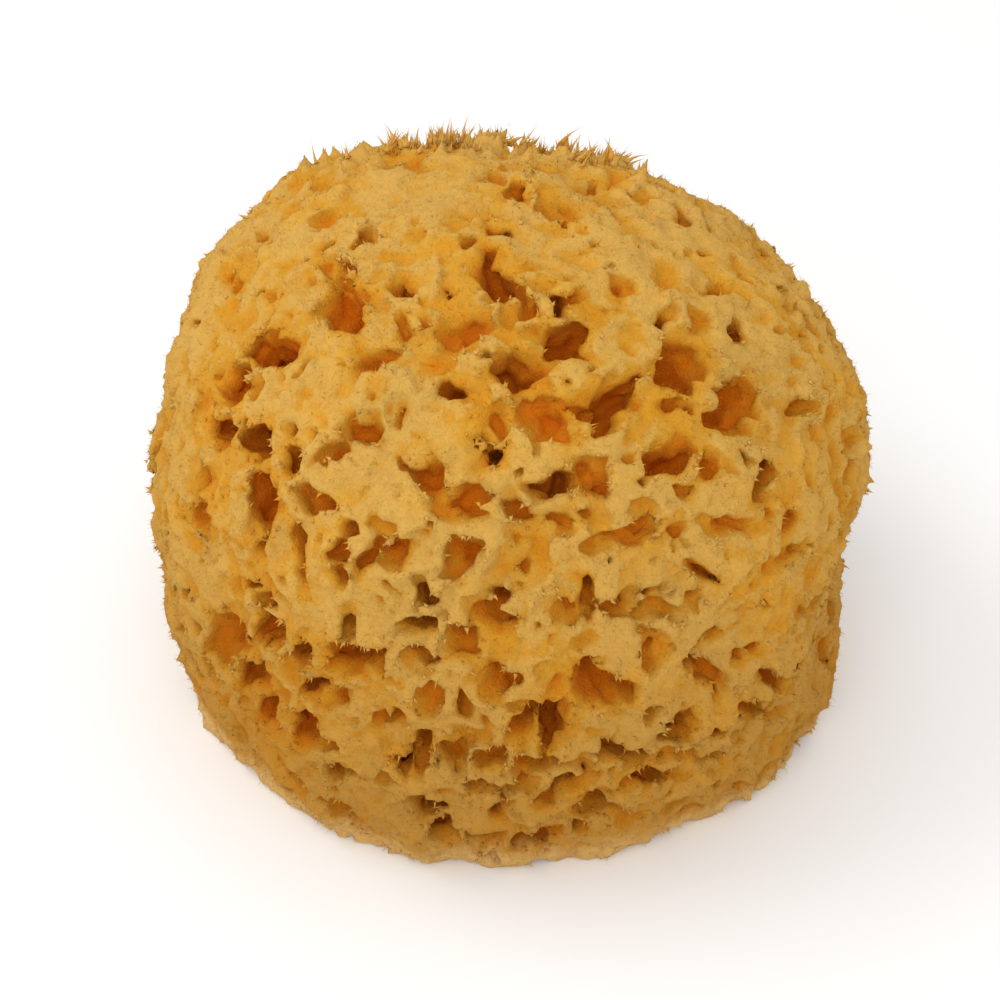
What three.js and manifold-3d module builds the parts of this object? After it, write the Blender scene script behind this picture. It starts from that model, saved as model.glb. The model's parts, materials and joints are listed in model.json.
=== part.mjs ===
// A natural honeycomb sea sponge, cut flat where it grew on the rock, in millimetres.
// +Z is up and the origin is the middle of the flat cut that the sponge rests on.
// -Y is the front. One piece: a lumpy dome with deep pores cut in and fibre tufts standing on it.
import * as THREE from "three";
import { mergeVertices } from "three/addons/utils/BufferGeometryUtils.js";
import Module from "manifold-3d";

// Driving dimensions
const HALF_WIDTH = 70; // the sponge is about 142 mm across
const HALF_DEPTH = 67;
const HEART_HEIGHT = 47; // the widest level, above the cut
const CROWN_RISE = 60; // from the widest level to the top
const FOOT_DROP = 88; // how far the sides would run below the widest level if they weren't cut
const CROWN_ROUNDNESS = 2.1; // 2 is an ellipse, more is squarer
const FOOT_ROUNDNESS = 3;
const SKIN_DETAIL = 7; // divisions of each icosahedron edge

const PORE_WAIST = 0.88; // size of a pore halfway down, against its mouth
const PORE_FLOOR = 0.5; // and at the bottom
const PORE_CLEAR = 9; // how far a cutter stands out of the skin
const DEEP_PORE = 8; // a pore deeper than this has a waist
const WIDE_PORE = 7; // a pore wider than this has more sides
const WIDE_SIDES = 8;
const NARROW_SIDES = 6;
const LEAST_FACING = 0.4; // a pore seen more slantingly than this is widened no further

const TUFT_SIDES = 4;
const TUFT_RADIUS = 1.1;
const TUFT_ROOT = 2.5; // how deep a tuft starts inside the skin
const GOLDEN_TURN = Math.PI * (3 - Math.sqrt(5));

// The view in which the front is laid out: a picture plane through the heart, seen from the front and above
const VIEW_ELEVATION = THREE.MathUtils.degToRad(40);
const VIEW_DISTANCE = 444;
const HEART_RIGHT = 2; // the heart, from the middle of the picture
const HEART_UP = 6;

// Swellings (and hollows, with a negative rise) of the body, in degrees and mm.
// Azimuth 0 is the front and 90 the right.
const SWELLINGS = [
  { name: "right cheek", azimuth: 92, elevation: 14, rise: 1.5, spread: 22 },
  { name: "right waist", azimuth: 79, elevation: -11, rise: -3.8, spread: 15 },
  { name: "left cheek", azimuth: -88, elevation: -10, rise: 1, spread: 22 },
  { name: "left shoulder", azimuth: -128, elevation: 36, rise: 6.5, spread: 25 },
  { name: "front right foot", azimuth: 56, elevation: -36, rise: 2.5, spread: 13 },
  { name: "front foot", azimuth: 32, elevation: -44, rise: -1.5, spread: 16 },
  { name: "front left foot", azimuth: -44, elevation: -38, rise: -1.5, spread: 10 },
];

// Slow waves of the skin: height, number of waves across the width, and phase along each axis
const WAVES = [
  { height: 0.9, count: [3.1, 2.3, 2.7], phase: [0.4, 1.9, 0.8] },
  { height: 0.7, count: [5.3, 4.9, 5.7], phase: [2.2, 0.3, 1.4] },
  { height: 1.1, count: [11.2, 12.1, 10.4], phase: [0.9, 2.7, 1.1] },
];

// The pores of the front: right and up from the middle of the picture, width, height, tilt in degrees
// (positive raises the right end), depth
const FRONT_PORES = [
  [-31.4, 39.0, 7.2, 10.0, 0, 12],
  [-46.4, 31.0, 8.0, 5.6, -25, 11],
  [-25.6, 28.8, 7.2, 2.8, 25, 5],
  [11.6, 59.0, 7.2, 4.8, -30, 4],
  [-0.6, 45.6, 7.2, 8.8, 0, 9],
  [-7.6, 35.6, 10.0, 9.6, 0, 5],
  [4.6, 39.4, 3.6, 5.6, 0, 6],
  [13.0, 32.0, 10.8, 5.2, 20, 8],
  [44.4, 43.0, 4.4, 3.0, 10, 6],
  [47.6, 33.6, 4.2, 4.2, 0, 6],
  [38.2, 27.0, 10.8, 8.0, -30, 13],
  [47.4, 17.4, 9.0, 11.2, -15, 12],
  [-54.0, 22.2, 6.4, 4.4, 0, 10],
  [-55.6, 13.8, 4.8, 5.2, 0, 9],
  [-48.6, 10.8, 6.4, 6.0, 0, 12],
  [-41.6, 7.6, 4.4, 6.0, 40, 8],
  [-33.6, 8.4, 5.2, 3.6, 35, 6],
  [-28.4, 14.8, 8.0, 5.6, 0, 6],
  [-60.4, 1.6, 4.8, 12.0, -10, 4],
  [-47.2, -1.0, 6.4, 10.4, 0, 9],
  [-37.0, -1.0, 8.4, 5.2, -15, 6],
  [-30.6, -6.0, 2.8, 5.6, 0, 9],
  [-32.4, -11.6, 5.6, 3.4, 0, 6],
  [-19.4, -11.0, 3.8, 6.0, -30, 5],
  [3.2, 24.4, 8.8, 7.6, 0, 12],
  [-10.6, 22.6, 4.6, 3.8, 20, 8],
  [0.6, 15.8, 9.4, 6.0, 0, 4],
  [10.8, 15.6, 8.0, 8.0, 0, 7],
  [21.0, 21.0, 12.0, 5.4, 28, 11],
  [-1.8, 8.2, 4.8, 4.2, 0, 12],
  [-13.4, 5.4, 6.4, 8.0, 0, 7],
  [-8.0, -0.6, 8.0, 6.6, 0, 7],
  [-6.8, -11.2, 6.4, 5.2, 0, 7],
  [9.6, 3.2, 6.4, 4.8, 0, 9],
  [18.0, 4.6, 8.0, 6.6, -15, 7],
  [6.0, -2.4, 7.2, 3.2, 0, 6],
  [5.4, -12.6, 9.6, 12.0, 0, 3],
  [26.6, -7.0, 10.0, 4.4, 12, 6],
  [-14.2, -17.6, 3.8, 4.0, 0, 9],
  [17.6, -18.0, 4.4, 5.2, 0, 10],
  [23.8, -20.4, 5.4, 6.4, 0, 7],
  [33.6, 8.8, 10.0, 5.2, 38, 8],
  [42.8, 6.0, 5.2, 5.2, 0, 7],
  [53.2, 4.0, 7.2, 3.4, 35, 9],
  [47.0, -5.4, 12.6, 3.2, 0, 4],
  [41.6, -16.0, 7.6, 2.6, -15, 5],
  [59.0, -11.4, 4.8, 2.8, 15, 4],
  [-55.2, -28.0, 8.0, 9.0, 0, 6],
  [-46.8, -27.2, 6.0, 6.4, 0, 8],
  [-40.6, -30.8, 4.8, 4.0, 0, 9],
  [-49.8, -36.2, 6.0, 5.4, 0, 9],
  [-46.8, -43.4, 4.4, 7.0, 0, 7],
  [-38.0, -38.0, 3.4, 3.2, 0, 9],
  [-39.0, -45.2, 5.6, 8.4, 0, 8],
  [-29.4, -31.0, 12.6, 6.0, 10, 13],
  [-25.4, -44.6, 3.6, 3.6, 0, 7],
  [-33.0, -55.2, 4.8, 3.4, 0, 5],
  [-16.0, -24.2, 7.6, 4.0, 0, 8],
  [-7.6, -29.0, 5.0, 6.4, 0, 7],
  [-0.6, -24.8, 6.4, 4.8, 0, 8],
  [-15.2, -31.8, 5.4, 5.0, 0, 5],
  [-14.6, -40.6, 4.8, 5.6, 0, 7],
  [0.0, -38.6, 5.6, 4.0, 0, 7],
  [3.6, -45.8, 5.2, 5.4, -35, 11],
  [10.4, -44.6, 4.6, 8.6, 0, 13],
  [21.2, -38.4, 8.0, 9.0, 40, 11],
  [-16.6, -51.4, 4.8, 7.4, 0, 11],
  [-9.8, -51.4, 5.8, 6.6, 0, 4],
  [-2.6, -52.4, 5.4, 3.6, 0, 6],
  [5.4, -52.6, 6.0, 3.6, 0, 5],
  [-15.4, -61.2, 6.0, 5.4, 0, 12],
  [-11.6, -67.0, 6.4, 4.0, 0, 6],
  [0.8, -62.0, 3.0, 5.2, 0, 9],
  [13.6, -56.6, 6.6, 3.8, 35, 9],
  [6.4, -68.6, 7.2, 3.0, 0, 6],
  [20.4, -62.4, 8.6, 2.8, 0, 5],
  [28.8, -56.2, 8.0, 3.4, -5, 8],
  [25.4, -51.4, 6.8, 2.8, -28, 6],
  [41.6, -35.2, 10.0, 4.0, -25, 7],
  [55.6, -36.0, 4.6, 3.4, -30, 5],
  [36.0, -44.8, 5.2, 6.4, 0, 13],
  [31.0, -30.0, 6.8, 6.0, 0, 4],
  [50.4, -42.0, 5.2, 3.4, 0, 6],
];

// The pores of the sides that the front view doesn't show are spread evenly, in these sizes, in turn
const BACK_PORE_COUNT = 144; // over the whole ball, of which those on the hidden sides are cut
const BACK_PORE_SIZES = [
  { width: 8.4, height: 6.2, depth: 10 },
  { width: 5.6, height: 4.6, depth: 8 },
  { width: 10.4, height: 5.6, depth: 9 },
  { width: 4.4, height: 5.4, depth: 7 },
  { width: 7.2, height: 9.6, depth: 12 },
];
const BACK_TILT_STEP = 67; // degrees that each pore is turned further than the last
const BACK_FACING = 0.12; // a spot facing the view less than this belongs to the hidden sides
const LOWEST_PORE = -0.52; // sine of the lowest direction from the heart that gets a pore

// Channels that the flat cut opens in the underside: azimuth, distance from the middle, width
const FOOT_CHANNELS = [
  [20, 38, 8],
  [75, 45, 6],
  [118, 30, 9],
  [165, 44, 7],
  [215, 34, 8],
  [262, 46, 6],
  [305, 36, 9],
  [340, 22, 5],
  [190, 18, 6],
];
const CHANNEL_DEPTH = 7;

// The tufts along the top edge of the picture: right of the middle of the picture, length out of the skin
const EDGE_TUFTS = [
  [-32.0, 4.6],
  [-26.8, 3.2],
  [-21.6, 4.8],
  [-17.0, 2.6],
  [-12.6, 2.6],
  [-10.2, 3.2],
  [-7.6, 4.0],
  [-4.4, 6.2],
  [-2.8, 4.0],
  [1.2, 3.2],
  [5.2, 3.6],
  [8.6, 2.4],
  [12.6, 2.2],
  [17.6, 2.8],
  [30.2, 5.2],
  [45.8, 1.8],
];

// The tufts of the other sides, spread evenly, with these lengths in turn
const TUFT_COUNT = 36;
const TUFT_LENGTHS = [2.6, 1.8, 3.2, 2.2, 1.6];
const LOWEST_TUFT = -0.5; // sine of the lowest direction from the heart that gets a tuft

const heart = new THREE.Vector3(0, 0, HEART_HEIGHT);
const viewRight = new THREE.Vector3(1, 0, 0);
const viewUp = new THREE.Vector3(0, Math.sin(VIEW_ELEVATION), Math.cos(VIEW_ELEVATION));
const viewBack = new THREE.Vector3(0, -Math.cos(VIEW_ELEVATION), Math.sin(VIEW_ELEVATION));
const middle = heart.clone().addScaledVector(viewRight, -HEART_RIGHT).addScaledVector(viewUp, -HEART_UP);
const eye = middle.clone().addScaledVector(viewBack, VIEW_DISTANCE);

// A unit vector from azimuth and elevation in degrees.
function bearing(azimuth, elevation) {
  const a = THREE.MathUtils.degToRad(azimuth);
  const e = THREE.MathUtils.degToRad(elevation);
  return new THREE.Vector3(Math.sin(a) * Math.cos(e), -Math.cos(a) * Math.cos(e), Math.sin(e));
}

const swellings = SWELLINGS.map((s) => ({
  toward: bearing(s.azimuth, s.elevation),
  rise: s.rise,
  spread: THREE.MathUtils.degToRad(s.spread),
}));

// How far the skin lies from the heart along the unit vector d.
function skinRadius(d) {
  const across = Math.hypot(d.x / HALF_WIDTH, d.y / HALF_DEPTH);
  const [tall, roundness] = d.z > 0 ? [CROWN_RISE, CROWN_ROUNDNESS] : [FOOT_DROP, FOOT_ROUNDNESS];
  let r = (across ** roundness + Math.abs(d.z / tall) ** roundness) ** (-1 / roundness);
  for (const s of swellings) {
    r += s.rise * Math.exp(-((d.angleTo(s.toward) / s.spread) ** 2));
  }
  for (const w of WAVES) {
    const [x, y, z] = [d.x, d.y, d.z].map((c, i) => Math.sin(w.count[i] * c + w.phase[i]));
    r += w.height * x * y * z;
  }
  return r;
}

function skinPoint(d) {
  return heart.clone().addScaledVector(d, skinRadius(d));
}

// The outward direction of the skin at the unit vector d from the heart.
function skinNormal(d) {
  const step = 0.03;
  const side = new THREE.Vector3(d.y, -d.x, 0).normalize();
  const rise = new THREE.Vector3().crossVectors(side, d);
  const slope = (s) => skinPoint(d.clone().addScaledVector(s, step).normalize())
    .sub(skinPoint(d.clone().addScaledVector(s, -step).normalize()));
  return new THREE.Vector3().crossVectors(slope(rise), slope(side)).normalize();
}

// The spot of the skin that the picture shows at (right, up), as a unit vector from the heart.
function seenAt(right, up) {
  const aim = middle.clone().addScaledVector(viewRight, right).addScaledVector(viewUp, up);
  const ray = aim.sub(eye).normalize();
  const step = 0.25;
  const p = eye.clone();
  let nearest = Infinity;
  let best = null;
  for (let run = 0; run < 2 * VIEW_DISTANCE; run += step) {
    p.addScaledVector(ray, step);
    const d = p.clone().sub(heart);
    const above = d.length() - skinRadius(d.normalize());
    if (above < nearest) {
      nearest = above;
      best = d;
    }
    if (above < 0) {
      break;
    }
  }
  return best;
}

// The whole body as a geodesic ball pushed out to the skin.
function bodyGeometry() {
  const geometry = new THREE.IcosahedronGeometry(1, SKIN_DETAIL);
  const p = geometry.attributes.position;
  const d = new THREE.Vector3();
  for (let i = 0; i < p.count; i++) {
    const spot = skinPoint(d.fromBufferAttribute(p, i).normalize());
    p.setXYZ(i, spot.x, spot.y, spot.z);
  }
  return geometry;
}

// A closed tapered plug. Each ring is {size, out}: how large it is, and how far it lies along the axis.
// `long` and `wide` are its half-axes as vectors, and `out` is the axis, out of the skin.
function plugGeometry(at, long, wide, out, rings, sides) {
  const geometry = new THREE.CylinderGeometry(1, 1, 1, sides, rings.length - 1);
  const p = geometry.attributes.position;
  for (let i = 0; i < p.count; i++) {
    const ring = rings[Math.round((0.5 - p.getY(i)) * (rings.length - 1))];
    const spot = at.clone().addScaledVector(out, ring.out);
    spot.addScaledVector(long, p.getX(i) * ring.size).addScaledVector(wide, -p.getZ(i) * ring.size);
    p.setXYZ(i, spot.x, spot.y, spot.z);
  }
  return geometry;
}

function poreGeometry(at, long, wide, out, depth) {
  const rings = [{ size: 1.1, out: PORE_CLEAR }, { size: 1, out: 0 }];
  if (depth > DEEP_PORE) {
    rings.push({ size: PORE_WAIST, out: -depth / 2 });
  }
  rings.push({ size: PORE_FLOOR, out: -depth });
  const sides = 2 * Math.max(long.length(), wide.length()) > WIDE_PORE ? WIDE_SIDES : NARROW_SIDES;
  return plugGeometry(at, long, wide, out, rings, sides);
}

// A pore that the picture shows as an ellipse: its half-axes are laid slantingly onto the skin.
function frontPore([right, up, width, height, tilt, depth]) {
  const d = seenAt(right, up);
  const out = skinNormal(d);
  const turn = THREE.MathUtils.degToRad(tilt);
  const facing = Math.max(viewBack.dot(out), LEAST_FACING);
  const lay = (size, angle) => {
    const seen = viewRight.clone().multiplyScalar(Math.cos(angle)).addScaledVector(viewUp, Math.sin(angle));
    return seen.addScaledVector(viewBack, -seen.dot(out) / facing).multiplyScalar(size / 2);
  };
  return poreGeometry(skinPoint(d), lay(width, turn), lay(height, turn + Math.PI / 2), out, depth);
}

// Evenly spread unit vectors: point number i of a golden spiral of `count` points over the ball.
function spiralPoint(i, count) {
  const z = 1 - (2 * i + 1) / count;
  const across = Math.sqrt(1 - z * z);
  return new THREE.Vector3(across * Math.cos(i * GOLDEN_TURN), across * Math.sin(i * GOLDEN_TURN), z);
}

function backPores() {
  const pores = [];
  for (let i = 0; i < BACK_PORE_COUNT; i++) {
    const d = spiralPoint(i, BACK_PORE_COUNT);
    const out = skinNormal(d);
    if (out.dot(viewBack) > BACK_FACING || d.z < LOWEST_PORE) {
      continue;
    }
    const size = BACK_PORE_SIZES[i % BACK_PORE_SIZES.length];
    const level = new THREE.Vector3(d.y, -d.x, 0).normalize();
    level.applyAxisAngle(out, THREE.MathUtils.degToRad(i * BACK_TILT_STEP));
    const long = level.clone().multiplyScalar(size.width / 2);
    const wide = new THREE.Vector3().crossVectors(out, level).multiplyScalar(size.height / 2);
    pores.push(poreGeometry(skinPoint(d), long, wide, out, size.depth));
  }
  return pores;
}

function footChannel([azimuth, distance, width]) {
  const at = bearing(azimuth, 0).multiplyScalar(distance);
  const along = bearing(azimuth, 0).multiplyScalar(width / 2);
  const across = bearing(azimuth + 90, 0).multiplyScalar(-width / 2);
  return poreGeometry(at, along, across, new THREE.Vector3(0, 0, -1), CHANNEL_DEPTH);
}

// A pointed tuft of fibres that stands `length` out of the skin along the unit vector d.
function tuftGeometry(d, length) {
  const geometry = new THREE.ConeGeometry(TUFT_RADIUS, length + TUFT_ROOT, TUFT_SIDES);
  geometry.translate(0, (length - TUFT_ROOT) / 2, 0);
  const out = skinNormal(d).add(d).normalize();
  geometry.applyQuaternion(new THREE.Quaternion().setFromUnitVectors(new THREE.Vector3(0, 1, 0), out));
  const at = skinPoint(d);
  return geometry.translate(at.x, at.y, at.z);
}

// The tufts whose outlines stand on the top edge of the picture.
function edgeTufts() {
  return EDGE_TUFTS.map(([right, length]) => {
    const aside = (right - HEART_RIGHT) / HALF_WIDTH;
    const d = viewRight.clone().multiplyScalar(aside).addScaledVector(viewUp, Math.sqrt(1 - aside * aside));
    return tuftGeometry(d, length);
  });
}

function spreadTufts() {
  const tufts = [];
  for (let i = 0; i < TUFT_COUNT; i++) {
    const d = spiralPoint(i, TUFT_COUNT);
    if (d.z > LOWEST_TUFT) {
      tufts.push(tuftGeometry(d, TUFT_LENGTHS[i % TUFT_LENGTHS.length]));
    }
  }
  return tufts;
}

const wasm = await Module();
wasm.setup();

// A closed geometry as a manifold-3d solid.
function solidOf(geometry) {
  geometry.deleteAttribute("normal");
  geometry.deleteAttribute("uv");
  const merged = mergeVertices(geometry, 1e-3);
  return new wasm.Manifold(
    new wasm.Mesh({
      numProp: 3,
      vertProperties: merged.attributes.position.array,
      triVerts: new Uint32Array(merged.index.array),
    }),
  );
}

// A manifold-3d solid as a geometry.
function geometryOf(solid) {
  const mesh = solid.getMesh();
  const geometry = new THREE.BufferGeometry();
  geometry.setAttribute("position", new THREE.BufferAttribute(mesh.vertProperties, 3));
  geometry.setIndex(new THREE.BufferAttribute(mesh.triVerts, 1));
  geometry.computeVertexNormals();
  return geometry;
}

function footCut() {
  const block = 4 * HALF_WIDTH;
  return new THREE.BoxGeometry(block, block, block).translate(0, 0, -block / 2);
}

function spongeSolid() {
  let solid = solidOf(bodyGeometry());
  for (const tuft of [...edgeTufts(), ...spreadTufts()]) {
    solid = solid.add(solidOf(tuft));
  }
  solid = solid.subtract(solidOf(footCut()));
  for (const pore of [...FRONT_PORES.map(frontPore), ...backPores(), ...FOOT_CHANNELS.map(footChannel)]) {
    solid = solid.subtract(solidOf(pore));
  }
  return solid;
}

const fibre = new THREE.MeshStandardMaterial({ color: 0xd9a752, roughness: 0.92, metalness: 0 });
const sponge = new THREE.Mesh(geometryOf(spongeSolid()), fibre);
sponge.name = "sponge";

const part = new THREE.Group();
part.add(sponge);
export default part;
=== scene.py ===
"""A dry honeycomb sea sponge: its porous body, tufts and felt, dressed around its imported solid.

Sizes are in millimetres until a mesh is made, and the picture plane is the view from the front and above.
"""

import json
import logging
import math
from dataclasses import dataclass, field
from enum import Enum
from typing import Any

import bpy
import numpy as np
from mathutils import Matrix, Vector

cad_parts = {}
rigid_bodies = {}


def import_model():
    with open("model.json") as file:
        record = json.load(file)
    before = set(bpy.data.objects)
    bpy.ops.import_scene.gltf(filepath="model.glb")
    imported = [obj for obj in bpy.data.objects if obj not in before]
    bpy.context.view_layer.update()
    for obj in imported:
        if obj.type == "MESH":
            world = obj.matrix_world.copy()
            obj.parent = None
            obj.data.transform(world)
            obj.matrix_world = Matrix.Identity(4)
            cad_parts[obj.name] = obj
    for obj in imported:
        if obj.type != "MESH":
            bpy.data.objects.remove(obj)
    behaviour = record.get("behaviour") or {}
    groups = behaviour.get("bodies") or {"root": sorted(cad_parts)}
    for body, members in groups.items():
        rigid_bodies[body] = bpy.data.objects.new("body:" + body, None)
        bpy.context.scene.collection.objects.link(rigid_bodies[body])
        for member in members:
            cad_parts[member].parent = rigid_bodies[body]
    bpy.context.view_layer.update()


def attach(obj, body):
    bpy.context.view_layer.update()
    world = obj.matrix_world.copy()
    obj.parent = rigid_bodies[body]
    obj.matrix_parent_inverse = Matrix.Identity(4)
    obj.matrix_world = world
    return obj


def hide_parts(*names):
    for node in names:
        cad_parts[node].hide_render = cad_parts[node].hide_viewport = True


log = logging.getLogger("sponge")
MM = 0.001
NODE = "sponge"
BODY = "root"
GOLDEN_TURN = math.pi * (3 - math.sqrt(5))


class PoreDepth(Enum):
    """How deep a pore goes, in millimetres."""

    SHALLOW = 3.6
    MEDIUM = 7.0
    DEEP = 11.0
    CHASM = 14.0


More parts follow.
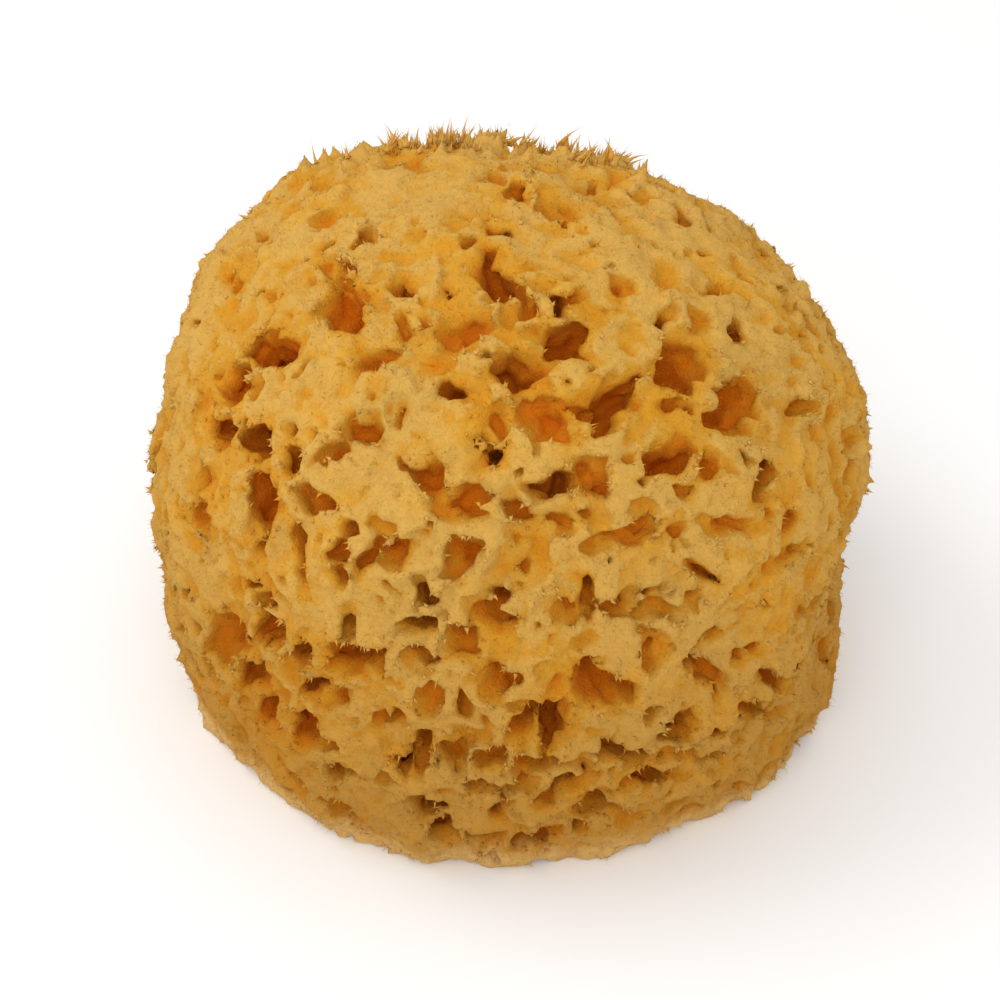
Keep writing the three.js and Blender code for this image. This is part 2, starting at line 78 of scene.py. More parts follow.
# Pores of the front: right and up from the middle of the picture, width, height, tilt in degrees
FRONT_PORES: dict[PoreDepth, list[tuple[float, float, float, float, float]]] = {
    PoreDepth.SHALLOW: [
        (11.6, 59.0, 7.2, 4.8, -30), (-7.6, 35.6, 10.0, 9.6, 0), (-60.4, 1.6, 4.8, 12.0, -10),
        (0.6, 15.8, 9.4, 6.0, 0), (5.4, -12.6, 9.6, 12.0, 0), (47.0, -5.4, 12.6, 3.2, 0),
        (59.0, -11.4, 4.8, 2.8, 15), (31.0, -30.0, 6.8, 6.0, 0), (-9.8, -51.4, 5.8, 6.6, 0),
        (-27.0, 52.8, 3.6, 4.0, 0), (-55.0, 43.4, 4.8, 3.2, -45), (-47.8, 42.4, 1.6, 1.2, 0),
        (-49.0, 53.6, 2.0, 1.6, 0), (-20.0, 35.0, 2.4, 5.6, 0), (15.4, 62.4, 1.6, 1.2, 0),
        (25.2, 42.4, 3.6, 4.0, 0), (37.0, 19.0, 6.8, 3.6, 0), (59.6, 32.4, 4.4, 1.8, 0),
        (60.6, 22.8, 1.6, 1.6, 0), (-54.4, 25.4, 8.0, 4.4, 0), (-41.4, 14.8, 2.0, 2.8, 0),
        (-33.0, -16.0, 5.2, 3.6, 0), (13.0, -3.0, 12.0, 6.0, 0), (12.6, -21.0, 6.4, 4.4, 0),
        (52.4, 0.6, 4.8, 2.4, 0), (37.0, 2.0, 4.0, 2.4, 0), (59.4, -4.0, 2.8, 3.6, 0),
        (35.4, -7.6, 2.8, 2.0, 0), (38.0, -21.4, 3.2, 2.4, 0), (32.0, -22.6, 12.8, 2.4, 0),
        (-35.6, -49.0, 4.8, 4.0, 0), (-33.0, -40.0, 4.4, 3.6, 0), (-31.4, -62.4, 9.0, 2.4, -30),
        (4.0, -56.4, 7.2, 3.2, 0), (12.0, -52.0, 6.0, 2.8, 0), (61.4, -30.6, 2.6, 1.6, 0),
        (35.0, -56.6, 2.0, 1.2, 0), (34.0, -51.0, 9.6, 3.2, 0),
    ],
    PoreDepth.MEDIUM: [
        (-25.6, 28.8, 7.2, 2.8, 25), (4.6, 39.4, 3.6, 5.6, 0), (44.4, 43.0, 4.4, 3.0, 10),
        (47.6, 33.6, 4.2, 4.2, 0), (-33.6, 8.4, 5.2, 3.6, 35), (-28.4, 14.8, 8.0, 5.6, 0),
        (-37.0, -1.0, 8.4, 5.2, -15), (-32.4, -11.6, 5.6, 3.4, 0), (-19.4, -11.0, 3.8, 6.0, -30),
        (10.8, 15.6, 8.0, 8.0, 0), (-13.4, 5.4, 6.4, 8.0, 0), (-8.0, -0.6, 8.0, 6.6, 0),
        (-6.8, -11.2, 6.4, 5.2, 0), (18.0, 4.6, 8.0, 6.6, -15), (6.0, -2.4, 7.2, 3.2, 0),
        (26.6, -7.0, 10.0, 4.4, 12), (23.8, -20.4, 5.4, 6.4, 0), (42.8, 6.0, 5.2, 5.2, 0),
        (41.6, -16.0, 7.6, 2.6, -15), (-55.2, -28.0, 8.0, 9.0, 0), (-46.8, -43.4, 4.4, 7.0, 0),
        (-25.4, -44.6, 3.6, 3.6, 0), (-33.0, -55.2, 4.8, 3.4, 0), (-7.6, -29.0, 5.0, 6.4, 0),
        (-15.2, -31.8, 5.4, 5.0, 0), (-14.6, -40.6, 4.8, 5.6, 0), (0.0, -38.6, 5.6, 4.0, 0),
        (-2.6, -52.4, 5.4, 3.6, 0), (5.4, -52.6, 6.0, 3.6, 0), (-11.6, -67.0, 6.4, 4.0, 0),
        (6.4, -68.6, 7.2, 3.0, 0), (20.4, -62.4, 8.6, 2.8, 0), (25.4, -51.4, 6.8, 2.8, -28),
        (41.6, -35.2, 10.0, 4.0, -25), (55.6, -36.0, 4.6, 3.4, -30), (50.4, -42.0, 5.2, 3.4, 0),
        (-34.2, 51.4, 2.8, 1.6, 30), (-31.8, 46.0, 4.8, 4.4, 0), (-50.8, 29.8, 1.6, 1.6, 0),
        (-20.4, 43.0, 6.4, 2.4, 60), (-8.6, 60.4, 0.9, 0.9, 0), (17.8, 64.0, 1.6, 1.2, 45),
        (-1.0, 54.4, 4.8, 3.2, 0), (-5.6, 50.6, 2.0, 2.0, 0), (-10.0, 42.4, 1.6, 1.6, 0),
        (-5.2, 33.6, 5.2, 5.6, 0), (-15.4, 28.0, 0.9, 0.9, 0), (62.2, 19.0, 5.2, 2.2, 0),
        (-38.4, 13.4, 1.4, 2.0, 0), (-62.0, -3.0, 3.0, 4.0, 0), (-47.6, -9.0, 2.4, 4.0, 0),
        (-25.8, -11.0, 6.8, 2.8, 60), (-40.6, -12.4, 1.8, 12.0, 5), (-47.4, -21.4, 2.6, 4.4, 0),
        (-26.0, 3.8, 0.9, 0.9, 0), (-8.4, 20.4, 3.2, 2.4, 0), (-17.6, 16.6, 1.6, 2.8, 0),
        (20.0, 16.4, 3.2, 4.0, 0), (-18.2, 7.6, 2.4, 1.6, 0), (-2.6, -0.6, 2.8, 2.0, 0),
        (24.8, -8.4, 1.0, 1.0, 0), (28.2, -6.0, 1.0, 1.0, 0), (-4.4, 10.4, 1.0, 1.0, 0),
        (-1.4, 12.8, 0.9, 0.9, 0), (2.6, 11.6, 0.9, 0.9, 0), (-9.0, -5.4, 1.0, 1.0, 0),
        (-15.2, -7.4, 0.9, 0.9, 0), (40.4, 9.4, 1.6, 1.2, 0), (51.4, 8.0, 2.6, 1.0, -20),
        (-47.2, -30.6, 1.2, 1.2, 0), (-29.6, -26.0, 3.2, 1.6, 25), (-20.6, -44.4, 2.8, 3.2, 0),
        (-29.6, -55.2, 3.6, 2.8, 0), (-7.0, -42.6, 2.4, 3.2, 0), (-1.6, -71.2, 4.4, 1.4, -10),
        (6.4, -72.4, 5.6, 1.4, 0), (17.0, -65.4, 4.0, 3.2, 0), (44.2, -27.6, 3.6, 1.8, -20),
        (44.4, -39.4, 2.0, 2.0, 0), (48.6, -32.4, 2.0, 2.6, 0), (51.4, -31.4, 2.8, 1.2, 0),
        (30.4, -42.4, 2.8, 3.2, 0), (54.0, -41.0, 2.8, 1.6, 40), (43.4, -46.4, 2.8, 3.6, 0),
        (40.6, -30.0, 4.0, 1.8, 0), (-4.6, -57.4, 3.8, 3.4, 0), (8.6, -60.6, 4.0, 2.8, 0),
        (-2.6, -68.0, 6.0, 2.8, 0),
    ],
    PoreDepth.DEEP: [
        (-31.4, 39.0, 7.2, 10.0, 0), (-46.4, 31.0, 8.0, 5.6, -25), (-0.6, 45.6, 7.2, 8.8, 0),
        (13.0, 32.0, 10.8, 5.2, 20), (47.4, 17.4, 9.0, 11.2, -15), (-54.0, 22.2, 6.4, 4.4, 0),
        (-55.6, 13.8, 4.8, 5.2, 0), (-41.6, 7.6, 4.4, 6.0, 40), (-47.2, -1.0, 6.4, 10.4, 0),
        (-30.6, -6.0, 2.8, 5.6, 0), (3.2, 24.4, 8.8, 7.6, 0), (-10.6, 22.6, 4.6, 3.8, 20),
        (21.0, 21.0, 12.0, 5.4, 28), (9.6, 3.2, 6.4, 4.8, 0), (-14.2, -17.6, 3.8, 4.0, 0),
        (17.6, -18.0, 4.4, 5.2, 0), (33.6, 8.8, 10.0, 5.2, 38), (53.2, 4.0, 7.2, 3.4, 35),
        (-46.8, -27.2, 6.0, 6.4, 0), (-40.6, -30.8, 4.8, 4.0, 0), (-49.8, -36.2, 6.0, 5.4, 0),
        (-38.0, -38.0, 3.4, 3.2, 0), (-39.0, -45.2, 5.6, 8.4, 0), (-16.0, -24.2, 7.6, 4.0, 0),
        (-0.6, -24.8, 6.4, 4.8, 0), (3.6, -45.8, 5.2, 5.4, -35), (21.2, -38.4, 8.0, 9.0, 40),
        (-16.6, -51.4, 4.8, 7.4, 0), (0.8, -62.0, 3.0, 5.2, 0), (13.6, -56.6, 6.6, 3.8, 35),
        (28.8, -56.2, 8.0, 3.4, -5), (3.0, 63.2, 1.8, 2.8, 0), (13.8, 40.0, 4.4, 3.0, 50),
        (16.0, 30.4, 2.4, 2.4, 0), (33.2, 36.6, 3.0, 1.8, 0), (-50.2, -18.6, 1.4, 1.8, 0),
        (12.0, 2.4, 2.8, 2.8, 0), (29.4, -18.6, 2.0, 1.8, 0), (50.4, -13.4, 1.2, 1.0, 0),
        (53.6, -20.0, 2.4, 1.4, 0), (-39.4, -29.6, 1.6, 1.6, 0), (-23.0, -28.0, 2.0, 2.0, 0),
        (-22.8, -55.0, 2.8, 3.2, 0), (-5.0, -36.6, 1.6, 1.2, 0), (-19.6, -52.4, 2.8, 3.6, 0),
        (-0.8, -57.2, 1.2, 1.8, 0), (11.2, -57.0, 3.2, 2.8, 45), (21.0, -50.0, 3.4, 2.8, 0),
        (32.6, -47.4, 4.8, 1.2, -20), (42.8, -51.0, 2.6, 2.0, 0),
    ],
    PoreDepth.CHASM: [
        (38.2, 27.0, 10.8, 8.0, -30), (-48.6, 10.8, 6.4, 6.0, 0), (-1.8, 8.2, 4.8, 4.2, 0),
        (-29.4, -31.0, 12.6, 6.0, 10), (-25.0, -31.0, 4.0, 4.0, 0), (10.4, -44.6, 4.6, 8.6, 0),
        (-15.4, -61.2, 6.0, 5.4, 0), (36.0, -44.8, 5.2, 6.4, 0),
    ],
}

# Pores of the hidden sides, spread evenly, take these widths, heights and depths in turn
BACK_PORES: list[tuple[float, float, float]] = [
    (8.4, 6.2, 10.0), (5.6, 4.6, 8.0), (10.4, 5.6, 9.0), (4.4, 5.4, 7.0), (7.2, 9.6, 12.0),
]
# Channels that the flat cut opens: azimuth in degrees, distance from the middle, width
FOOT_CHANNELS: list[tuple[float, float, float]] = [
    (20, 38, 8), (75, 45, 6), (118, 30, 9), (165, 44, 7), (215, 34, 8), (262, 46, 6), (305, 36, 9),
    (340, 22, 5), (190, 18, 6),
]
# Tufts on the top edge of the picture: right of its middle, and length out of the skin
EDGE_TUFTS: list[tuple[float, float]] = [
    (-32.0, 4.6), (-26.8, 3.2), (-21.6, 4.8), (-17.0, 2.6), (-12.6, 2.6), (-10.2, 3.2), (-7.6, 4.0),
    (-4.4, 6.2), (-2.8, 4.0), (1.2, 3.2), (5.2, 3.6), (8.6, 2.4), (12.6, 2.2), (17.6, 2.8), (30.2, 5.2),
    (45.8, 1.8),
]
SPREAD_TUFTS: list[float] = [2.6, 1.8, 3.2, 2.2, 1.6]


def bearing(azimuth: float, elevation: float = 0.0) -> np.ndarray:
    """Gives a unit vector from degrees.

    Args:
        azimuth: 0 is the front and 90 the right.
        elevation: degrees above level.

    Returns:
        The vector, as three numbers.
    """
    a, e = math.radians(azimuth), math.radians(elevation)
    return np.array([math.sin(a) * math.cos(e), -math.cos(a) * math.cos(e), math.sin(e)])


def unit(v: np.ndarray) -> np.ndarray:
    """Gives vectors their own direction at length one."""
    return v / np.maximum(np.linalg.norm(v, axis=-1, keepdims=True), 1e-9)


@dataclass(frozen=True)
class Swelling:
    """A swelling of the body, or a hollow where its rise is negative."""

    azimuth: float
    elevation: float
    rise: float
    spread: float


@dataclass(frozen=True)
class Wave:
    """A slow wave of the skin."""

    height: float
    count: tuple[float, float, float]
    phase: tuple[float, float, float]


@dataclass(frozen=True)
class PictureView:
    """The view from the front and above in which the front is laid out."""

    elevation: float = 40.0
    distance: float = 444.0
    heart_right: float = 2.0
    heart_up: float = 6.0
    heart_height: float = 47.0

    @property
    def heart(self) -> np.ndarray:
        """The middle of the body, at its widest level."""
        return np.array([0.0, 0.0, self.heart_height])

    @property
    def right(self) -> np.ndarray:
        """The picture's right."""
        return np.array([1.0, 0.0, 0.0])

    @property
    def up(self) -> np.ndarray:
        """The picture's up."""
        e = math.radians(self.elevation)
        return np.array([0.0, math.sin(e), math.cos(e)])

    @property
    def back(self) -> np.ndarray:
        """The way from the sponge to the eye."""
        return bearing(0.0, self.elevation)

    @property
    def middle(self) -> np.ndarray:
        """The middle of the picture plane."""
        return self.heart - self.heart_right * self.right - self.heart_up * self.up

    @property
    def eye(self) -> np.ndarray:
        """Where the eye is."""
        return self.middle + self.distance * self.back


@dataclass(frozen=True)
class SpongeForm:
    """The outer skin, as a distance from the heart in each direction."""

    view: PictureView
    half_width: float = 70.0
    half_depth: float = 67.0
    crown_rise: float = 60.0
    foot_drop: float = 88.0
    crown_roundness: float = 2.1
    foot_roundness: float = 3.0
    normal_step: float = 0.03
    sight: tuple[float, float, float] = (0.6, 1.4, 0.0005)
    swellings: tuple[Swelling, ...] = (
        Swelling(92, 14, 1.5, 22), Swelling(79, -11, -3.8, 15), Swelling(-88, -10, 1, 22),
        Swelling(-128, 36, 6.5, 25), Swelling(56, -36, 2.5, 13), Swelling(32, -44, -1.5, 16),
        Swelling(-44, -38, -1.5, 10),
    )
    waves: tuple[Wave, ...] = (
        Wave(0.9, (3.1, 2.3, 2.7), (0.4, 1.9, 0.8)), Wave(0.7, (5.3, 4.9, 5.7), (2.2, 0.3, 1.4)),
        Wave(1.1, (11.2, 12.1, 10.4), (0.9, 2.7, 1.1)),
    )

    def radius(self, d: np.ndarray) -> np.ndarray:
        """Gives the skin's distance from the heart.

        Args:
            d: unit vectors, one in each row.

        Returns:
            The distances.
        """
        across = np.hypot(d[..., 0] / self.half_width, d[..., 1] / self.half_depth)
        up = d[..., 2] > 0
        tall = np.where(up, self.crown_rise, self.foot_drop)
        n = np.where(up, self.crown_roundness, self.foot_roundness)
        r = (across ** n + np.abs(d[..., 2] / tall) ** n) ** (-1 / n)
        for s in self.swellings:
            away = np.arccos(np.clip(d @ bearing(s.azimuth, s.elevation), -1, 1))
            r = r + s.rise * np.exp(-((away / math.radians(s.spread)) ** 2))
        for w in self.waves:
            r = r + w.height * np.prod(np.sin(d * np.array(w.count) + np.array(w.phase)), axis=-1)
        return r

    def below(self, p: np.ndarray) -> np.ndarray:
        """Gives how far points lie beneath the skin, towards the heart."""
        v = p - self.view.heart
        r = np.linalg.norm(v, axis=-1)
        return self.radius(v / np.maximum(r, 1e-6)[..., None]) - r

    def point(self, d: np.ndarray) -> np.ndarray:
        """Gives the skin's point in the direction d."""
        return self.view.heart + d * self.radius(d)[..., None]

    def normal(self, d: np.ndarray) -> np.ndarray:
        """Gives the skin's outward normal in the direction d."""
        step = self.normal_step
        side = unit(np.stack([d[..., 1], -d[..., 0], 0 * d[..., 0]], axis=-1))
        rise = np.cross(side, d)
        slope = [self.point(unit(d + s * step)) - self.point(unit(d - s * step)) for s in (rise, side)]
        return unit(np.cross(slope[0], slope[1]))

    def seen_at(self, right: float, up: float) -> np.ndarray:
        """Finds the spot of the skin that the picture shows.

        Args:
            right: distance right of the picture's middle.
            up: distance above it.

        Returns:
            The spot, as a unit vector from the heart.
        """
        view = self.view
        ray = unit(view.middle + right * view.right + up * view.up - view.eye)
        run = np.arange(*self.sight) * view.distance
        p = view.eye + run[:, None] * ray
        below = self.below(p)
        hit = int(np.argmax(below > 0)) if (below > 0).any() else int(np.argmax(below))
        return unit(p[hit] - view.heart)


@dataclass(frozen=True)
class LaidPore:
    """A pore laid on the skin: its middle, half-axes, axis out of the skin, and depth."""

    at: np.ndarray
    long: np.ndarray
    wide: np.ndarray
    out: np.ndarray
    depth: float

    @property
    def size(self) -> float:
        """The mean half-width."""
        return math.sqrt(float(np.linalg.norm(self.long) * np.linalg.norm(self.wide)))

    @property
    def stain(self) -> float:
        """How strongly painted shade and amber bounce light darken its walls, from 0 to 1."""
        return min(0.4 + self.depth / 17.0, 1.0)


@dataclass(frozen=True)
class PoreShape:
    """How a pore strays from a plain round shaft."""

    slant: np.ndarray
    flare: float = 0.0
    rounding: float = 0.5
    lobes: tuple[float, ...] = (0.0, 0.0, 0.0)
    lobe_heights: tuple[float, ...] = (0.12, 0.09, 0.07)
    lobe_counts: tuple[int, ...] = (2, 3, 7)
    barrel: float = 0.06
    floor_roundness: float = 2.6
    mouth: float = 0.12
    mouth_height: float = 3.0
    flare_depth: float = 1.2
    floor_gain: float = 0.8

    @classmethod
    def drawn(cls, pore: LaidPore, rng: np.random.Generator, undercut: float = 0.12) -> "PoreShape":
        """Draws a shape at random.

        Args:
            pore: the pore that it is for.
            rng: the source of chance.
            undercut: how far its floor reaches up under its upper lip, for each millimetre down.

        Returns:
            The shape.
        """
        most_slant, most_flare, roundings = 0.4, 0.18, (0.7, 1.6)
        turn = rng.uniform(0, 2 * math.pi)
        aside = math.cos(turn) * unit(pore.long) + math.sin(turn) * unit(pore.wide)
        up = np.array([0.0, 0.0, 1.0])
        slant = rng.uniform(0, most_slant) * aside + undercut * (up - pore.out * float(up @ pore.out))
        lobes = tuple(rng.uniform(0, 2 * math.pi, 3).tolist())
        return cls(slant, float(rng.uniform(0, most_flare)), float(rng.uniform(*roundings)), lobes)

    def edge(self, a: np.ndarray, b: np.ndarray) -> np.ndarray:
        """Gives the distance from the middle, as a share of the half-width in that direction."""
        angle = np.arctan2(b, a)
        bulge = 1.0
        for height, count, phase in zip(self.lobe_heights, self.lobe_counts, self.lobes):
            bulge = bulge + height * np.sin(count * angle + phase)
        return np.sqrt(a * a + b * b) * bulge

    def section(self, m: np.ndarray, depth: float) -> np.ndarray:
        """Gives the shaft's half-width at depths m, as a share of the pore's own."""
        t = np.clip(m / depth, 0, 1)
        closing = np.sqrt(np.maximum(1 - t ** self.floor_roundness, 0))
        width = (1 + self.barrel * np.sin(np.pi * t)) * closing
        width = width + self.mouth * np.clip(-m / self.mouth_height, 0, 1)
        return width + self.flare * np.exp(-np.maximum(m, 0) / self.flare_depth)


@dataclass
class PoreMap:
    """Every pore's place: those that the picture shows, and like ones on the hidden sides."""

    form: SpongeForm
    widening: float = 0.92
    shallowing: float = 0.8
    least_facing: float = 0.4
    back_count: int = 144
    back_tilt_step: float = 67.0
    back_facing: float = 0.12
    lowest: float = -0.52
    extra_count: int = 190
    extra_facing: float = 0.3
    extra_lowest: float = -0.6
    extra_scale: float = 0.85
    extra_depth: float = 0.9
    extra_gap: float = 0.85
    least_area: float = 5.0
    pit_count: int = 1300
    pit_widths: tuple[float, float] = (1.2, 2.2)
    pit_steepness: float = 1.2
    dimple_count: int = 600
    dimple_widths: tuple[float, float] = (2.0, 5.5)
    dimple_steepness: float = 0.4
    small_lowest: float = -0.62
    base_count: int = 150
    base_reach: float = 60.0
    base_widths: tuple[float, float] = (1.5, 6.0)
    channel_depth: float = 7.0
    seed: int = 11

    def front(self) -> list[LaidPore]:
        """Lays the pores of the picture slantingly onto the skin."""
        view = self.form.view
        pores = []
        for depth, rows in FRONT_PORES.items():
            deep = depth.value * (1.0 if depth.value > PoreDepth.MEDIUM.value else self.shallowing)
            for right, up, width, height, tilt in rows:
                d = self.form.seen_at(right, up)
                out = self.form.normal(d)
                facing = max(float(view.back @ out), self.least_facing)
                axes = []
                for size, angle in ((width, math.radians(tilt)), (height, math.radians(tilt + 90))):
                    seen = view.right * math.cos(angle) + view.up * math.sin(angle)
                    axes.append((seen - view.back * float(seen @ out) / facing) * size * self.widening / 2)
                pores.append(LaidPore(self.form.point(d), axes[0], axes[1], out, deep))
        return pores

    def _level(self, d: np.ndarray, out: np.ndarray, turn: float) -> np.ndarray:
        """Gives a direction along the skin, turned from level by an angle in radians."""
        level = unit(np.array([d[1], -d[0], 0.0]))
        level = unit(level - out * float(level @ out))
        return level * math.cos(turn) + np.cross(out, level) * math.sin(turn)

    def _upright(self, d: np.ndarray, width: float, height: float, depth: float, turn: float) -> LaidPore:
        """Lays a pore of a given size in the direction d."""
        out = self.form.normal(d)
        long = self._level(d, out, turn)
        return LaidPore(self.form.point(d), long * width / 2, np.cross(out, long) * height / 2, out, depth)

    def back(self) -> list[LaidPore]:
        """Lays the evenly spread pores of the hidden sides."""
        pores = []
        for i in range(self.back_count):
            d = spiral_point(i, self.back_count)
            if float(self.form.normal(d) @ self.form.view.back) > self.back_facing or d[2] < self.lowest:
                continue
            width, height, depth = BACK_PORES[i % len(BACK_PORES)]
            pores.append(self._upright(d, width, height, depth, math.radians(i * self.back_tilt_step)))
        return pores

    def between(self, taken: list[LaidPore]) -> list[LaidPore]:
        """Lays like pores at random over the hidden sides, between those already there.

        Args:
            taken: the pores to keep clear of.

        Returns:
            The new pores.
        """
        rng = np.random.default_rng(self.seed)
        rows = [(w, h, depth.value) for depth, pores in FRONT_PORES.items()
                for _, _, w, h, _ in pores if w * h > self.least_area]
        places = [(p.at, p.size) for p in taken]
        pores: list[LaidPore] = []
        while len(pores) < self.extra_count:
            d = unit(rng.normal(size=3))
            width, height, depth = rows[rng.integers(len(rows))]
            turn = rng.uniform(0, math.pi)
            facing = float(self.form.normal(d) @ self.form.view.back)
            if facing > self.extra_facing or d[2] < self.extra_lowest:
                continue
            width, height = width * self.extra_scale, height * self.extra_scale
            pore = self._upright(d, width, height, depth * self.extra_depth, turn)
            if all(np.linalg.norm(pore.at - at) > self.extra_gap * (pore.size + size) for at, size in places):
                pores.append(pore)
                places.append((pore.at, pore.size))
        return pores

    def _strewn(self, count: int, widths: tuple[float, float], steepness: float, seed: int) -> list[LaidPore]:
        """Lays small pores at random all over.

        Args:
            count: how many are tried.
            widths: the least and greatest width.
            steepness: depth as a share of width.
            seed: for the source of chance.

        Returns:
            The pores.
        """
        rng = np.random.default_rng(seed)
        pores = []
        for _ in range(count):
            d = unit(rng.normal(size=3))
            width = rng.uniform(*widths)
            height = width * rng.uniform(0.5, 1.0)
            depth = width * steepness * rng.uniform(0.7, 1.3)
            turn = rng.uniform(0, math.pi)
            if d[2] > self.small_lowest:
                pores.append(self._upright(d, width, height, depth, turn))
        return pores

    def small(self) -> list[LaidPore]:
        """Lays the many small pits and the shallow dimples."""
        pits = self._strewn(self.pit_count, self.pit_widths, self.pit_steepness, self.seed + 1)
        dimples = self._strewn(self.dimple_count, self.dimple_widths, self.dimple_steepness, self.seed + 3)
        return pits + dimples

    def foot(self) -> list[LaidPore]:
        """Lays the channels that the flat cut opens underneath."""
        rng = np.random.default_rng(self.seed + 2)
        rows = list(FOOT_CHANNELS)
        for _ in range(self.base_count):
            azimuth, distance = rng.uniform(0, 360), self.base_reach * math.sqrt(rng.uniform(0, 1))
            rows.append((azimuth, distance, rng.uniform(*self.base_widths)))
        down = np.array([0.0, 0.0, -1.0])
        pores = []
        for azimuth, distance, width in rows:
            along = bearing(azimuth)
            across = np.cross(down, along)
            half = width / 2
            pores.append(LaidPore(along * distance, along * half, across * half, down, self.channel_depth))
        return pores


def spiral_point(i: int, count: int) -> np.ndarray:
    """Gives point i of `count` points spread evenly over a ball by a golden spiral."""
    z = 1 - (2 * i + 1) / count
    across = math.sqrt(1 - z * z)
    return np.array([across * math.cos(i * GOLDEN_TURN), across * math.sin(i * GOLDEN_TURN), z])


def spread(lattice: np.ndarray, shape: tuple[int, ...], smooth: bool) -> np.ndarray:
    """Spreads a small lattice of values over a grid.

    Args:
        lattice: the values.
        shape: the grid's size.
        smooth: whether by cubic splines, which round the values off, or straight between them.

    Returns:
        The grid.
    """
    out = lattice.astype(np.float32)
    for axis in reversed(range(3)):
        spare = 3 if smooth else 1
        t = np.linspace(0, out.shape[axis] - spare - 1e-4, shape[axis])
        i = np.floor(t).astype(int)
        f = t - i
        cubic = (
            (1 - f) ** 3 / 6, (3 * f ** 3 - 6 * f ** 2 + 4) / 6,
            (1 + 3 * f + 3 * f ** 2 - 3 * f ** 3) / 6, f ** 3 / 6,
        )
        layout = [-1 if k == axis else 1 for k in range(3)]
        total = 0.0
        for k, weight in enumerate(cubic if smooth else (1 - f, f)):
            total = total + np.take(out, i + k, axis) * weight.astype(np.float32).reshape(layout)
        out = total
    return out


def smooth_max(a: np.ndarray, b: np.ndarray, k: float) -> np.ndarray:
    """Gives the larger value, with the crease rounded over k."""
    h = np.maximum(k - np.abs(a - b), 0) / k
    return np.maximum(a, b) + h * h * (k / 4)


